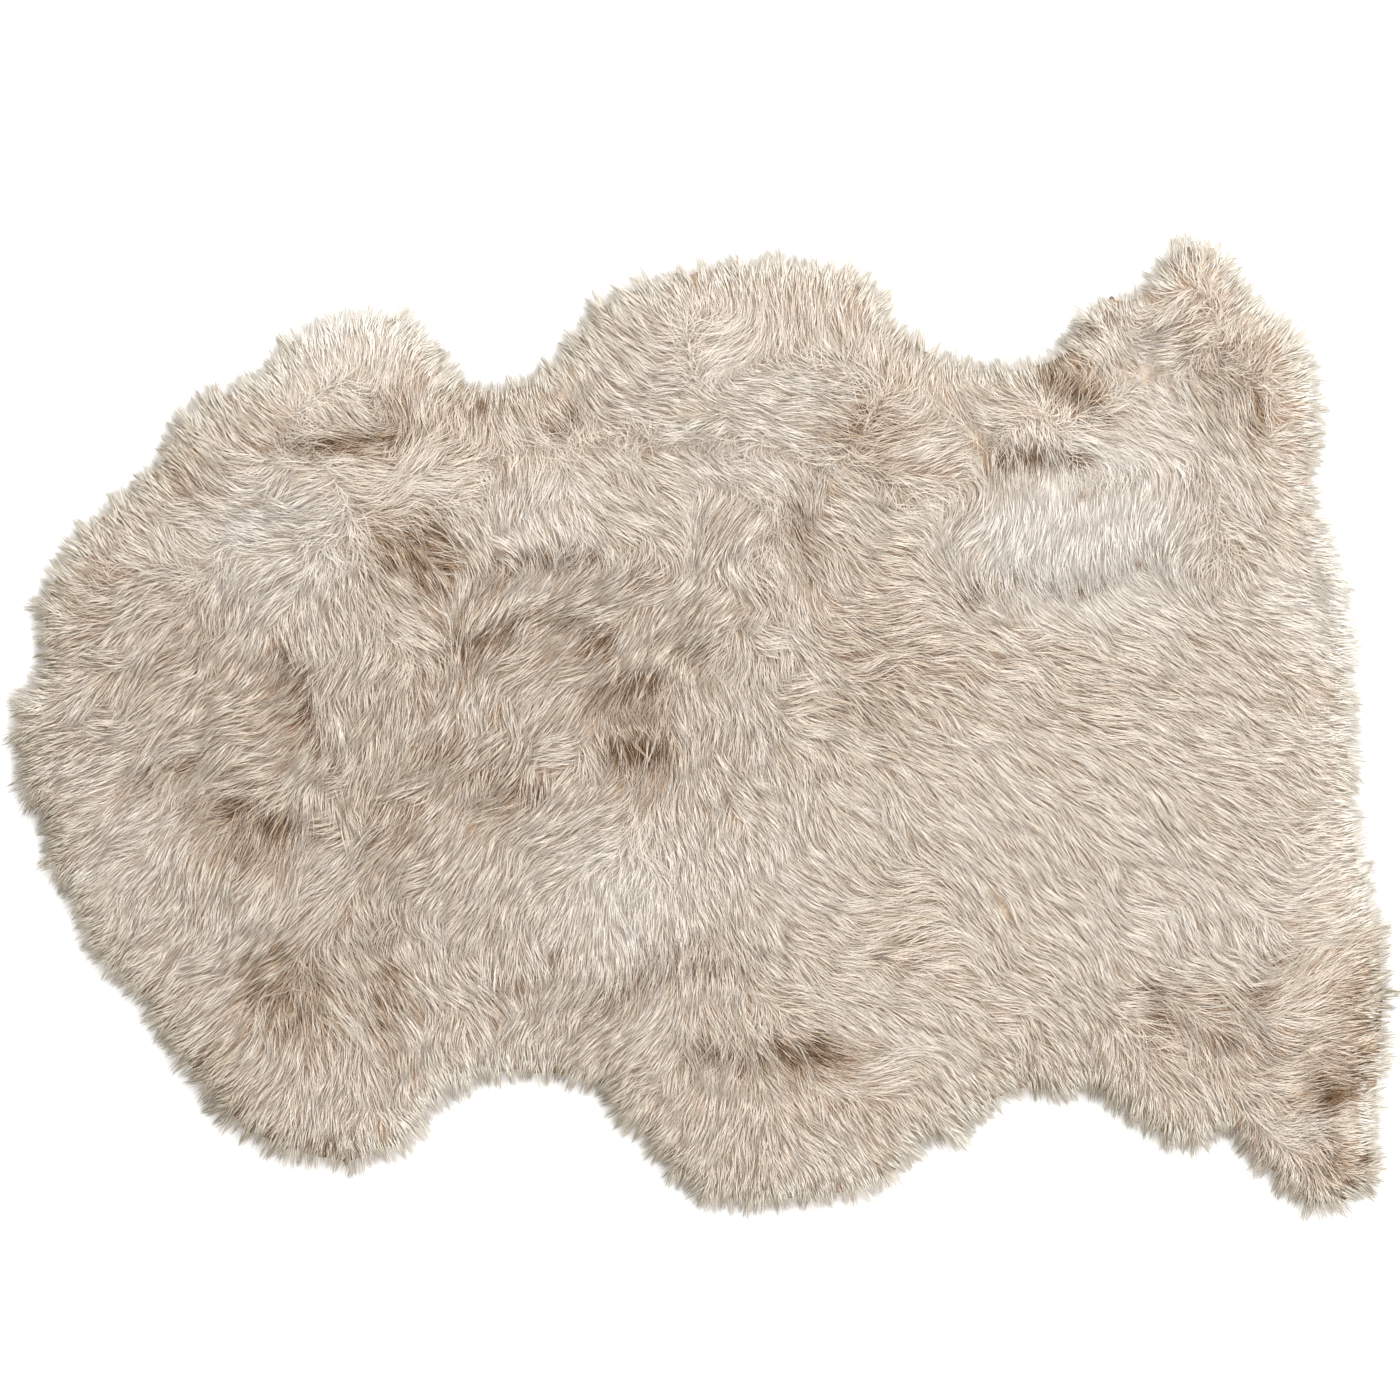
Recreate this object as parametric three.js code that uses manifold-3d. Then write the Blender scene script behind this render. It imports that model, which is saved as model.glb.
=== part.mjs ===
// Lambskin rug with its wool on, lying flat with the wool side up.
// Millimetres, +Z up. The long way of the skin runs along X, its flesh side rests on z = 0.
// The whole skin is one body: a lumpy slab of wool over a flat base, with locks at its rim.

import * as THREE from "three";
import { mergeVertices } from "three/addons/utils/BufferGeometryUtils.js";
import Module from "manifold-3d";

// Driving sizes of the wool
const PILE_HEIGHT = 33; // wool on the open field, above the floor
const LEAST_HEIGHT = 13; // the deepest parting still leaves this much
const SHOULDER_WIDTH = 58; // how far in from the rim the wool reaches its full height
const BASE_INSET = 22; // edge of the flat base, in from the tips of the wool
const BULGE_INSET = 6; // the slab's own widest ring, in from the tips of the wool
const BULGE_HEIGHT = 10; // height of that ring
const UNDERCUT_INSET = 10; // ring between the base and the bulge
const UNDERCUT_HEIGHT = 4;

// Small lumps of clumped wool, scattered over the whole field
const LUMPS = { count: 110, halfLength: 440, halfWidth: 300, leastReach: 20, mostReach: 42, rise: 3.4 };

// Mesh of the slab
const RIM_STEPS = 132; // corners around each ring
const SPINE = { left: -237, right: 350, y: 15 }; // the line that the rings close in on
const SHOULDER_INSETS = [8, 14, 25, 41]; // rings of the rounded shoulder, in from the tips
const FIELD_RINGS = 9; // rings from the shoulder to the spine
const FIELD_CLOSING = 0.95; // how near the last ring comes to the spine

// Locks of wool at the rim in two rows, the upper one shifted by half a step, and heights in each row
const LOCK_ROWS = [
  { count: 122, shifted: false, rootInset: 18, rootZ: 9, bendZ: 6.5, tipZ: 2.4, width: 13, depth: 4.6, reach: 2 },
  { count: 120, shifted: true, rootInset: 19, rootZ: 17, bendZ: 15.5, tipZ: 9, width: 12, depth: 5.4, reach: 1.5 },
];
const LOCK_LENGTH_SPREAD = 4.5; // tips fall this far short of or past the outline
const LOCK_SWAY = 7; // tips lie this far to one side or the other
const LOCK_STATIONS = [
  { along: 0.0, share: 1.0 },
  { along: 0.62, share: 0.85 },
];

// Outline at the tips of the wool, clockwise from the left tip, as x and y of each turn
const OUTLINE = [
  { stretch: "left tip", turns: [[-473, 12], [-450, 38], [-453, 84]] },
  { stretch: "upper left flank", turns: [[-426, 134], [-370, 187], [-345, 225], [-292, 251]] },
  { stretch: "upper left lobe", turns: [[-277, 273], [-224, 289], [-195, 286]] },
  { stretch: "upper left bay", turns: [[-150, 239], [-113, 245], [-87, 266]] },
  { stretch: "top lobe", turns: [[-74, 290], [-14, 317], [60, 325], [125, 308], [131, 288]] },
  { stretch: "top bay", turns: [[152, 270], [188, 255], [235, 256], [258, 275]] },
  { stretch: "upper right ear", turns: [[267, 297], [302, 303], [326, 335], [354, 338], [386, 292], [409, 280]] },
  { stretch: "right notch", turns: [[424, 240], [428, 200], [421, 177], [450, 92]] },
  { stretch: "right end", turns: [[454, 20], [458, -89], [474, -155], [474, -230], [466, -285], [465, -318]] },
  { stretch: "lower right corner", turns: [[440, -334], [419, -338], [404, -323], [378, -300], [369, -281]] },
  {
    stretch: "ragged lower edge",
    turns: [[330, -293], [276, -257], [258, -251], [250, -264], [230, -254], [196, -268], [174, -295], [151, -283], [149, -303]],
  },
  { stretch: "bottom lobe", turns: [[124, -322], [60, -332], [1, -328], [-30, -293], [-58, -272], [-60, -256]] },
  { stretch: "bottom bay", turns: [[-116, -245], [-170, -257], [-185, -280]] },
  { stretch: "lower left lobe", turns: [[-199, -295], [-246, -306], [-310, -283], [-358, -228], [-382, -191], [-417, -157], [-429, -121]] },
  { stretch: "lower left flank", turns: [[-446, -100], [-446, -73], [-463, -46], [-466, -17]] },
];

// Mounds and hollows: where each one lies, how far it reaches and how much it rises
const MOUNDS = [
  { name: "ear", x: 325, y: 275, reach: 45, rise: 8 },
  { name: "whorl below the ear", x: 232, y: 208, reach: 38, rise: 7 },
  { name: "smooth panel", x: 273, y: 125, reach: 60, rise: 6 },
  { name: "right upper field", x: 385, y: 175, reach: 45, rise: 6 },
  { name: "right lower mound", x: 420, y: -180, reach: 50, rise: 9 },
  { name: "corner swirl", x: 425, y: -300, reach: 32, rise: 5 },
  { name: "lower bank", x: 195, y: -190, reach: 60, rise: 5 },
  { name: "bottom lobe", x: 65, y: -285, reach: 48, rise: 5 },
  { name: "lower left field", x: -250, y: -245, reach: 55, rise: 5 },
  { name: "pale panel", x: -55, y: -125, reach: 60, rise: 5 },
  { name: "top field", x: 25, y: 270, reach: 62, rise: 5 },
  { name: "upper left field", x: -265, y: 240, reach: 50, rise: 5 },
  { name: "left bank", x: -380, y: 20, reach: 60, rise: 4 },
  { name: "middle crest", x: -125, y: 135, reach: 50, rise: 6 },
  { name: "left crest", x: -290, y: -95, reach: 50, rise: 5 },
  { name: "centre crest", x: 60, y: 75, reach: 42, rise: 5 },
  { name: "strip beyond the right edge", x: 438, y: 78, reach: 26, rise: -13 },
  { name: "lower end of that strip", x: 448, y: 15, reach: 26, rise: -9 },
  { name: "upper left tan hollow", x: -185, y: 123, reach: 27, rise: -8 },
  { name: "centre hollow", x: -41, y: -17, reach: 30, rise: -9 },
  { name: "left centre hollow", x: -122, y: -32, reach: 30, rise: -6 },
  { name: "radiating hollow", x: -273, y: -178, reach: 32, rise: -8 },
  { name: "hollow in the ear", x: 360, y: 235, reach: 26, rise: -7 },
  { name: "bottom rim shadow", x: -250, y: -290, reach: 24, rise: -8 },
  { name: "lower right hollow", x: 318, y: -188, reach: 26, rise: -9 },
  { name: "corner hollow", x: 423, y: -250, reach: 22, rise: -8 },
];

// Partings between locks and edges of folds: two ends, width across and depth
const PARTINGS = [
  { name: "turned edge of the top bay", x1: 136, y1: 262, x2: 207, y2: 238, width: 13, depth: 10 },
  { name: "upper edge of the right layer", x1: 412, y1: 185, x2: 423, y2: 92, width: 10, depth: 8 },
  { name: "line above the smooth panel", x1: 205, y1: 181, x2: 262, y2: 178, width: 12, depth: 9 },
  { name: "shoulder parting", x1: 240, y1: 228, x2: 275, y2: 212, width: 12, depth: 9 },
  { name: "lower edge of the smooth panel", x1: 195, y1: 96, x2: 320, y2: 102, width: 14, depth: 5 },
  { name: "upper left crease", x1: -273, y1: 192, x2: -205, y2: 193, width: 12, depth: 8 },
  { name: "top left dent", x1: -100, y1: 200, x2: -78, y2: 214, width: 12, depth: 8 },
  { name: "middle crease, left half", x1: -140, y1: 98, x2: -68, y2: 110, width: 11, depth: 8 },
  { name: "middle crease, right half", x1: -90, y1: 72, x2: -40, y2: 60, width: 11, depth: 8 },
  { name: "centre crease", x1: -65, y1: 25, x2: 0, y2: 52, width: 11, depth: 8 },
  { name: "upper centre crease", x1: 58, y1: 153, x2: 80, y2: 102, width: 11, depth: 7 },
  { name: "right of centre crease", x1: 95, y1: -5, x2: 130, y2: 10, width: 12, depth: 5 },
  { name: "left creases", x1: -288, y1: 45, x2: -272, y2: 10, width: 16, depth: 6 },
  { name: "left long crease", x1: -375, y1: -32, x2: -332, y2: -20, width: 13, depth: 6 },
  { name: "left dark crease", x1: -310, y1: -58, x2: -268, y2: -68, width: 16, depth: 7 },
  { name: "lower left crease", x1: -240, y1: -153, x2: -206, y2: -143, width: 13, depth: 7 },
  { name: "long arc, left end", x1: -68, y1: -190, x2: -20, y2: -160, width: 13, depth: 6 },
  { name: "long arc, right end", x1: -20, y1: -160, x2: 40, y2: -172, width: 13, depth: 6 },
  { name: "valley over the bottom lobe", x1: -5, y1: -215, x2: 85, y2: -222, width: 13, depth: 10 },
  { name: "creases on the right mound", x1: 385, y1: -160, x2: 412, y2: -146, width: 12, depth: 6 },
  { name: "lower right crease", x1: 350, y1: -213, x2: 412, y2: -212, width: 13, depth: 7 },
  { name: "corner crease", x1: 424, y1: -262, x2: 430, y2: -292, width: 12, depth: 7 },
];

const WOOL_COLOUR = 0xd2c6b8;

// Draws of the same seeded numbers on every run
function seededDraw(seed) {
  let state = seed;
  return () => {
    state = (state * 1664525 + 1013904223) % 4294967296;
    return state / 4294967296;
  };
}

// The scattered lumps, in the same columns as the mounds
function scatteredLumps(draw) {
  return Array.from({ length: LUMPS.count }, () => ({
    x: LUMPS.halfLength * (2 * draw() - 1),
    y: LUMPS.halfWidth * (2 * draw() - 1),
    reach: THREE.MathUtils.lerp(LUMPS.leastReach, LUMPS.mostReach, draw()),
    rise: LUMPS.rise * (2 * draw() - 1),
  }));
}

const lumps = scatteredLumps(seededDraw(7));

// Evenly spaced points on the outline
function outlinePoints(steps) {
  const turns = OUTLINE.flatMap((row) => row.turns.map(([x, y]) => new THREE.Vector3(x, y, 0)));
  const curve = new THREE.CatmullRomCurve3(turns, true, "centripetal");
  curve.arcLengthDivisions = 2000;
  return curve.getSpacedPoints(steps).slice(0, steps);
}

// The point of the spine that faces a point of the outline
function spinePoint(rim) {
  return new THREE.Vector3(THREE.MathUtils.clamp(rim.x, SPINE.left, SPINE.right), SPINE.y, 0);
}

// The outline moved in towards the spine
function movedIn(rim, inset) {
  const inward = spinePoint(rim).sub(rim).normalize();
  return rim.clone().addScaledVector(inward, inset);
}

function distanceToLine(x, y, row) {
  const dx = row.x2 - row.x1;
  const dy = row.y2 - row.y1;
  const along = THREE.MathUtils.clamp(((x - row.x1) * dx + (y - row.y1) * dy) / (dx * dx + dy * dy), 0, 1);
  return Math.hypot(x - row.x1 - along * dx, y - row.y1 - along * dy);
}

// Height of the wool over the open field
function fieldHeight(x, y) {
  let height = PILE_HEIGHT;
  for (const mound of [...MOUNDS, ...lumps]) {
    height += mound.rise * Math.exp(-(((x - mound.x) ** 2 + (y - mound.y) ** 2) / mound.reach ** 2));
  }
  for (const parting of PARTINGS) {
    height -= parting.depth * Math.exp(-((distanceToLine(x, y, parting) / parting.width) ** 2));
  }
  return Math.max(height, LEAST_HEIGHT);
}

function distanceToRim(point, rims) {
  return Math.min(
    ...rims.map((rim, step) => {
      const next = rims[(step + 1) % rims.length];
      return distanceToLine(point.x, point.y, { x1: rim.x, y1: rim.y, x2: next.x, y2: next.y });
    }),
  );
}

// Height of the slab at a point of its shoulder or field
function slabHeight(point, rims) {
  const inset = distanceToRim(point, rims);
  const share = THREE.MathUtils.clamp((inset - BULGE_INSET) / (SHOULDER_WIDTH - BULGE_INSET), 0, 1);
  const rounding = Math.sqrt(1 - (1 - share) ** 2);
  return BULGE_HEIGHT + (fieldHeight(point.x, point.y) - BULGE_HEIGHT) * rounding;
}

// The rings of the slab, from the edge of its base up over the shoulder to the spine
function slabRings(rims) {
  const flatRing = (inset, z) => rims.map((rim) => movedIn(rim, inset).setZ(z));
  const topPoint = (point) => point.setZ(slabHeight(point, rims));
  const rings = [
    flatRing(BASE_INSET, 0),
    flatRing(UNDERCUT_INSET, UNDERCUT_HEIGHT),
    flatRing(BULGE_INSET, BULGE_HEIGHT),
  ];
  for (const inset of SHOULDER_INSETS) {
    rings.push(rims.map((rim) => topPoint(movedIn(rim, inset))));
  }
  const lastInset = SHOULDER_INSETS.at(-1);
  for (let ring = 1; ring <= FIELD_RINGS; ring += 1) {
    const share = (FIELD_CLOSING * ring) / FIELD_RINGS;
    rings.push(rims.map((rim) => topPoint(movedIn(rim, lastInset).lerp(spinePoint(rim), share))));
  }
  return rings;
}

// Triangles that close the flat base
function baseTriangles(ring) {
  const contour = ring.map((point) => new THREE.Vector2(point.x, point.y));
  return THREE.ShapeUtils.triangulateShape(contour, []);
}

// Triangles that close the long last ring straight across, from its left end to its right end
function acrossTriangles(ring) {
  const steps = ring.length;
  const xs = ring.map((point) => point.x);
  const left = xs.indexOf(Math.min(...xs));
  const right = xs.indexOf(Math.max(...xs));
  const triangles = [];
  let [far, near] = [left, left];
  while (far !== right || near !== right) {
    const nextFar = (far + 1) % steps;
    const nextNear = (near + steps - 1) % steps;
    const stepFar = near === right || (far !== right && xs[nextFar] < xs[nextNear]);
    triangles.push(stepFar ? [far, near, nextFar] : [far, near, nextNear]);
    if (stepFar) far = nextFar;
    else near = nextNear;
  }
  return triangles.filter((corners) => new Set(corners).size === 3);
}

// A closed body from its rings, each quad between two rings split along its shorter diagonal
function ringedGeometry(rings) {
  const steps = rings[0].length;
  const points = rings.flat();
  const positions = points.flatMap((point) => [point.x, point.y, point.z]);
  const triangles = [];
  for (let ring = 0; ring + 1 < rings.length; ring += 1) {
    for (let step = 0; step < steps; step += 1) {
      const next = (step + 1) % steps;
      const [a, b] = [ring * steps + step, ring * steps + next];
      const [c, d] = [a + steps, b + steps];
      const straight = points[a].distanceTo(points[d]) < points[b].distanceTo(points[c]);
      triangles.push(...(straight ? [[a, d, b], [a, c, d]] : [[a, c, b], [b, c, d]]));
    }
  }
  const top = (rings.length - 1) * steps;
  for (const [a, b, c] of baseTriangles(rings[0])) triangles.push([a, c, b]);
  for (const [a, b, c] of acrossTriangles(rings.at(-1))) triangles.push([top + a, top + b, top + c]);
  const geometry = new THREE.BufferGeometry();
  geometry.setAttribute("position", new THREE.Float32BufferAttribute(positions, 3));
  geometry.setIndex(triangles.flat());
  return geometry;
}

// One lock: three-sided, bent down from its root in the slab to a point
function lockGeometry(root, bend, tip, width, depth) {
  const path = new THREE.QuadraticBezierCurve3(root, bend, tip);
  const run = tip.clone().sub(root).setZ(0).normalize();
  const across = new THREE.Vector3(-run.y, run.x, 0);
  const positions = [];
  for (const station of LOCK_STATIONS) {
    const centre = path.getPoint(station.along);
    const halfWidth = (width * station.share) / 2;
    const height = depth * station.share;
    const left = centre.clone().addScaledVector(across, halfWidth);
    const right = centre.clone().addScaledVector(across, -halfWidth);
    left.z -= height / 3;
    right.z -= height / 3;
    positions.push(...right.toArray(), ...left.toArray(), centre.x, centre.y, centre.z + (2 * height) / 3);
  }
  positions.push(...tip.toArray());
  const last = LOCK_STATIONS.length - 1;
  const point = 3 * LOCK_STATIONS.length;
  const triangles = [0, 2, 1];
  for (let side = 0; side < 3; side += 1) {
    const next = (side + 1) % 3;
    for (let station = 0; station < last; station += 1) {
      const [a, b] = [3 * station + side, 3 * station + next];
      triangles.push(a, b, b + 3, a, b + 3, a + 3);
    }
    triangles.push(3 * last + side, 3 * last + next, point);
  }
  const geometry = new THREE.BufferGeometry();
  geometry.setAttribute("position", new THREE.Float32BufferAttribute(positions, 3));
  geometry.setIndex(triangles);
  return geometry;
}

// One row of locks around the rim
function lockRow(row, draw) {
  const spread = (size) => size * (2 * draw() - 1);
  const finer = outlinePoints(row.count * 2);
  return Array.from({ length: row.count }, (_, index) => {
    const at = 2 * index + (row.shifted ? 1 : 0);
    const rim = finer[at];
    const before = finer[(at + finer.length - 1) % finer.length];
    const after = finer[(at + 1) % finer.length];
    const along = after.clone().sub(before).normalize();
    const outward = new THREE.Vector3(-along.y, along.x, 0);
    const root = movedIn(rim, row.rootInset).setZ(row.rootZ);
    const tip = rim.clone();
    tip.addScaledVector(outward, row.reach - LOCK_LENGTH_SPREAD / 2 + spread(LOCK_LENGTH_SPREAD / 2));
    tip.addScaledVector(along, spread(LOCK_SWAY));
    const bend = root.clone().lerp(tip, 0.6).setZ(row.bendZ);
    tip.setZ(row.tipZ + spread(1));
    return lockGeometry(root, bend, tip, row.width * (1 + spread(0.15)), row.depth);
  });
}

const wasm = await Module();
wasm.setup();

function solidOf(geometry) {
  const plain = geometry.clone();
  plain.deleteAttribute("normal");
  plain.deleteAttribute("uv");
  const merged = mergeVertices(plain);
  return new wasm.Manifold(
    new wasm.Mesh({
      numProp: 3,
      vertProperties: new Float32Array(merged.attributes.position.array),
      triVerts: new Uint32Array(merged.index.array),
    }),
  );
}

function geometryOf(solid) {
  const mesh = solid.getMesh();
  const geometry = new THREE.BufferGeometry();
  geometry.setAttribute("position", new THREE.BufferAttribute(mesh.vertProperties, 3));
  geometry.setIndex(new THREE.BufferAttribute(mesh.triVerts, 1));
  geometry.computeVertexNormals();
  return geometry;
}

// The whole skin, its box centred on the origin and its base on the floor
function lambskinGeometry() {
  const draw = seededDraw(41);
  let skin = solidOf(ringedGeometry(slabRings(outlinePoints(RIM_STEPS))));
  for (const row of LOCK_ROWS) {
    for (const lock of lockRow(row, draw)) skin = skin.add(solidOf(lock));
  }
  const geometry = geometryOf(skin);
  geometry.computeBoundingBox();
  const centre = geometry.boundingBox.getCenter(new THREE.Vector3());
  return geometry.translate(-centre.x, -centre.y, -geometry.boundingBox.min.z);
}

const woolMaterial = new THREE.MeshStandardMaterial({ color: WOOL_COLOUR, roughness: 0.9, metalness: 0 });
woolMaterial.name = "wool";

const lambskin = new THREE.Mesh(lambskinGeometry(), woolMaterial);
lambskin.name = "lambskin";

const part = new THREE.Group();
part.add(lambskin);

export default part;
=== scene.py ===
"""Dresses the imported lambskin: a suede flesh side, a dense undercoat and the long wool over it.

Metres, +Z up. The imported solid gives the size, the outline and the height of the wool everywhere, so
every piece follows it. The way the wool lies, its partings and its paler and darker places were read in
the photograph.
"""

import math
from typing import NamedTuple

import bmesh
import bpy
import numpy as np
from mathutils.bvhtree import BVHTree
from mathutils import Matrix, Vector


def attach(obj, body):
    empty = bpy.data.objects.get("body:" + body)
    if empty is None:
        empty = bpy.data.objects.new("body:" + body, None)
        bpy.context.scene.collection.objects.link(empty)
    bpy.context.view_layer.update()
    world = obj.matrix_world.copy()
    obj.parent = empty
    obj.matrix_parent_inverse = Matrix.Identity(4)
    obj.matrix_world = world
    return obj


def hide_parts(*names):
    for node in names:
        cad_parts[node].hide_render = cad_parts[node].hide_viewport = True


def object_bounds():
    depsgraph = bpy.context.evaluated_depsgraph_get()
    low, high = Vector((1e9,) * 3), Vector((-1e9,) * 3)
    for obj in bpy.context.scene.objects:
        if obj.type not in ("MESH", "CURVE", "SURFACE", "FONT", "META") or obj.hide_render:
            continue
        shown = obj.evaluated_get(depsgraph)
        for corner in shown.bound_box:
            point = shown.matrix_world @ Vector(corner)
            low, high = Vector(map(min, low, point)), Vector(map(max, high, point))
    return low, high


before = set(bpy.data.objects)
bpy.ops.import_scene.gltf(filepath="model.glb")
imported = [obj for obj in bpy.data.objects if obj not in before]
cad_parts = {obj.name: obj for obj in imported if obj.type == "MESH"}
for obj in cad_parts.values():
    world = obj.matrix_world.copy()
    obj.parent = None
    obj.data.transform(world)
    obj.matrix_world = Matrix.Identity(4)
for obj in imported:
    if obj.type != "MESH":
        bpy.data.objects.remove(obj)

bl_info = {
    "name": "Lambskin rug",
    "version": (1, 0, 0),
    "blender": (4, 5, 0),
    "location": "3D View > Sidebar > Lambskin",
    "description": "Builds a tanned lambskin with its wool on over its packed solid",
    "category": "Object",
}

NODE = "lambskin"
BODY = "root"
MM = 0.001
CAD_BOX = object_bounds()
SKIN_LENGTH = CAD_BOX[1][0] - CAD_BOX[0][0]

# The photograph's frame in its own pixels, with the middle and the length of the skin there
PHOTO_FRAME = 1400
PHOTO_MIDDLE_X = 699.5
PHOTO_MIDDLE_Y = 725.0
PHOTO_SKIN_LENGTH = 1393
PIXEL = SKIN_LENGTH / PHOTO_SKIN_LENGTH  # metres for one of those pixels

# The map that the wool's colours are read from: its width is how pale a strand is, its height runs from
# root to tip
WOOL_MAP = "OFBake"

# How the wool lies, read in the photograph. Each place has x and y in its pixels and the way that the
# wool points there in degrees, 0 to the right and 90 up
LAY = (
    ("upper left rim", (60, 600, 155), (120, 520, 140), (210, 400, 125), (300, 360, 115)),
    ("upper left lobe", (350, 330, 108), (395, 330, 75), (440, 350, 55), (400, 390, 90)),
    ("upper left field", (250, 420, 150), (360, 415, -20), (350, 450, 5), (300, 480, 205), (450, 480, 20)),
    ("upper left bay", (500, 400, 100), (530, 390, 108), (560, 380, 115), (470, 540, -45)),
    ("left end", (60, 640, 195), (100, 620, 210), (150, 700, 222), (200, 750, 205), (50, 760, 212)),
    ("left rim, lower half", (60, 850, 218), (100, 950, 228), (150, 1020, 220), (200, 1080, 218)),
    (
        "left of the middle",
        (250, 650, 250), (370, 680, 253), (430, 630, -40), (230, 880, 245), (330, 900, 235),
    ),
    ("below the middle crease", (450, 880, 235), (570, 840, 220), (600, 930, -90)),
    ("radiating hollow", (265, 980, 215), (300, 1020, 265), (345, 1000, 300), (400, 1000, 305)),
    (
        "lower left lobe",
        (250, 1120, 228), (330, 1160, 262), (400, 1130, 287), (350, 1080, 270), (400, 1080, 283),
    ),
    ("bottom bay", (450, 1080, 295), (480, 1050, 277), (500, 1060, 268), (580, 1060, 235)),
    (
        "top lobe",
        (600, 330, 138), (650, 300, 130), (700, 280, 115), (750, 270, 98), (800, 280, 90), (870, 288, 82),
    ),
    (
        "under the top lobe",
        (650, 350, 160), (720, 345, 30), (650, 400, 160), (750, 400, 175), (800, 430, 170),
    ),
    ("middle crests", (540, 500, -90), (600, 500, -50), (650, 500, -35), (770, 490, -35), (750, 530, 232)),
    ("right of the crests", (800, 550, -62), (870, 520, -45), (920, 460, 15), (900, 650, 0)),
    ("middle", (500, 640, 232), (580, 630, 230), (650, 640, 232), (700, 740, -82), (850, 720, -30)),
    ("whorl by the ear", (1005, 400, 150), (1070, 395, 60), (1040, 450, -90), (1095, 430, -20)),
    (
        "ear",
        (1180, 250, 90), (1230, 260, 60), (1270, 310, 45),
        (1100, 300, 105), (1080, 330, 128), (1160, 320, 215),
    ),
    ("right notch", (1310, 370, 25), (1310, 420, 5), (1240, 420, -60), (1250, 520, -38), (1340, 560, -40)),
    ("smooth panel", (1000, 540, -97), (1100, 540, -97), (1180, 540, -118)),
    ("right field", (1150, 620, -28), (1300, 620, -28), (1350, 680, -18), (1050, 680, -25), (1000, 720, -25)),
    (
        "right field, lower",
        (1100, 750, -22), (1000, 800, -35), (1050, 850, -52), (1000, 900, -55), (1150, 850, -38),
    ),
    ("right end", (1250, 850, -28), (1300, 760, -25), (1350, 750, -12), (1350, 850, 0), (1380, 920, 12)),
    ("right mound", (1200, 930, -55), (1330, 980, 7), (1180, 1010, -25), (1370, 1080, 25), (1350, 1110, 0)),
    ("corner", (1330, 1180, -40), (1360, 1160, -5), (1300, 1195, -85)),
    (
        "ragged lower edge",
        (950, 1080, -35), (1000, 1080, -35), (1050, 1080, -50), (1120, 1080, -85), (1180, 1100, -65),
    ),
    ("bottom lobe", (650, 1120, 230), (700, 1150, 245), (750, 1180, 270), (800, 1170, 300), (850, 1150, 307)),
    ("right of the bottom lobe", (900, 1140, 312), (940, 1120, 318), (900, 1065, -15), (900, 1000, -22)),
    ("lower middle", (910, 930, 18), (700, 850, -72), (800, 820, -60), (870, 830, -52)),
)
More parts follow.
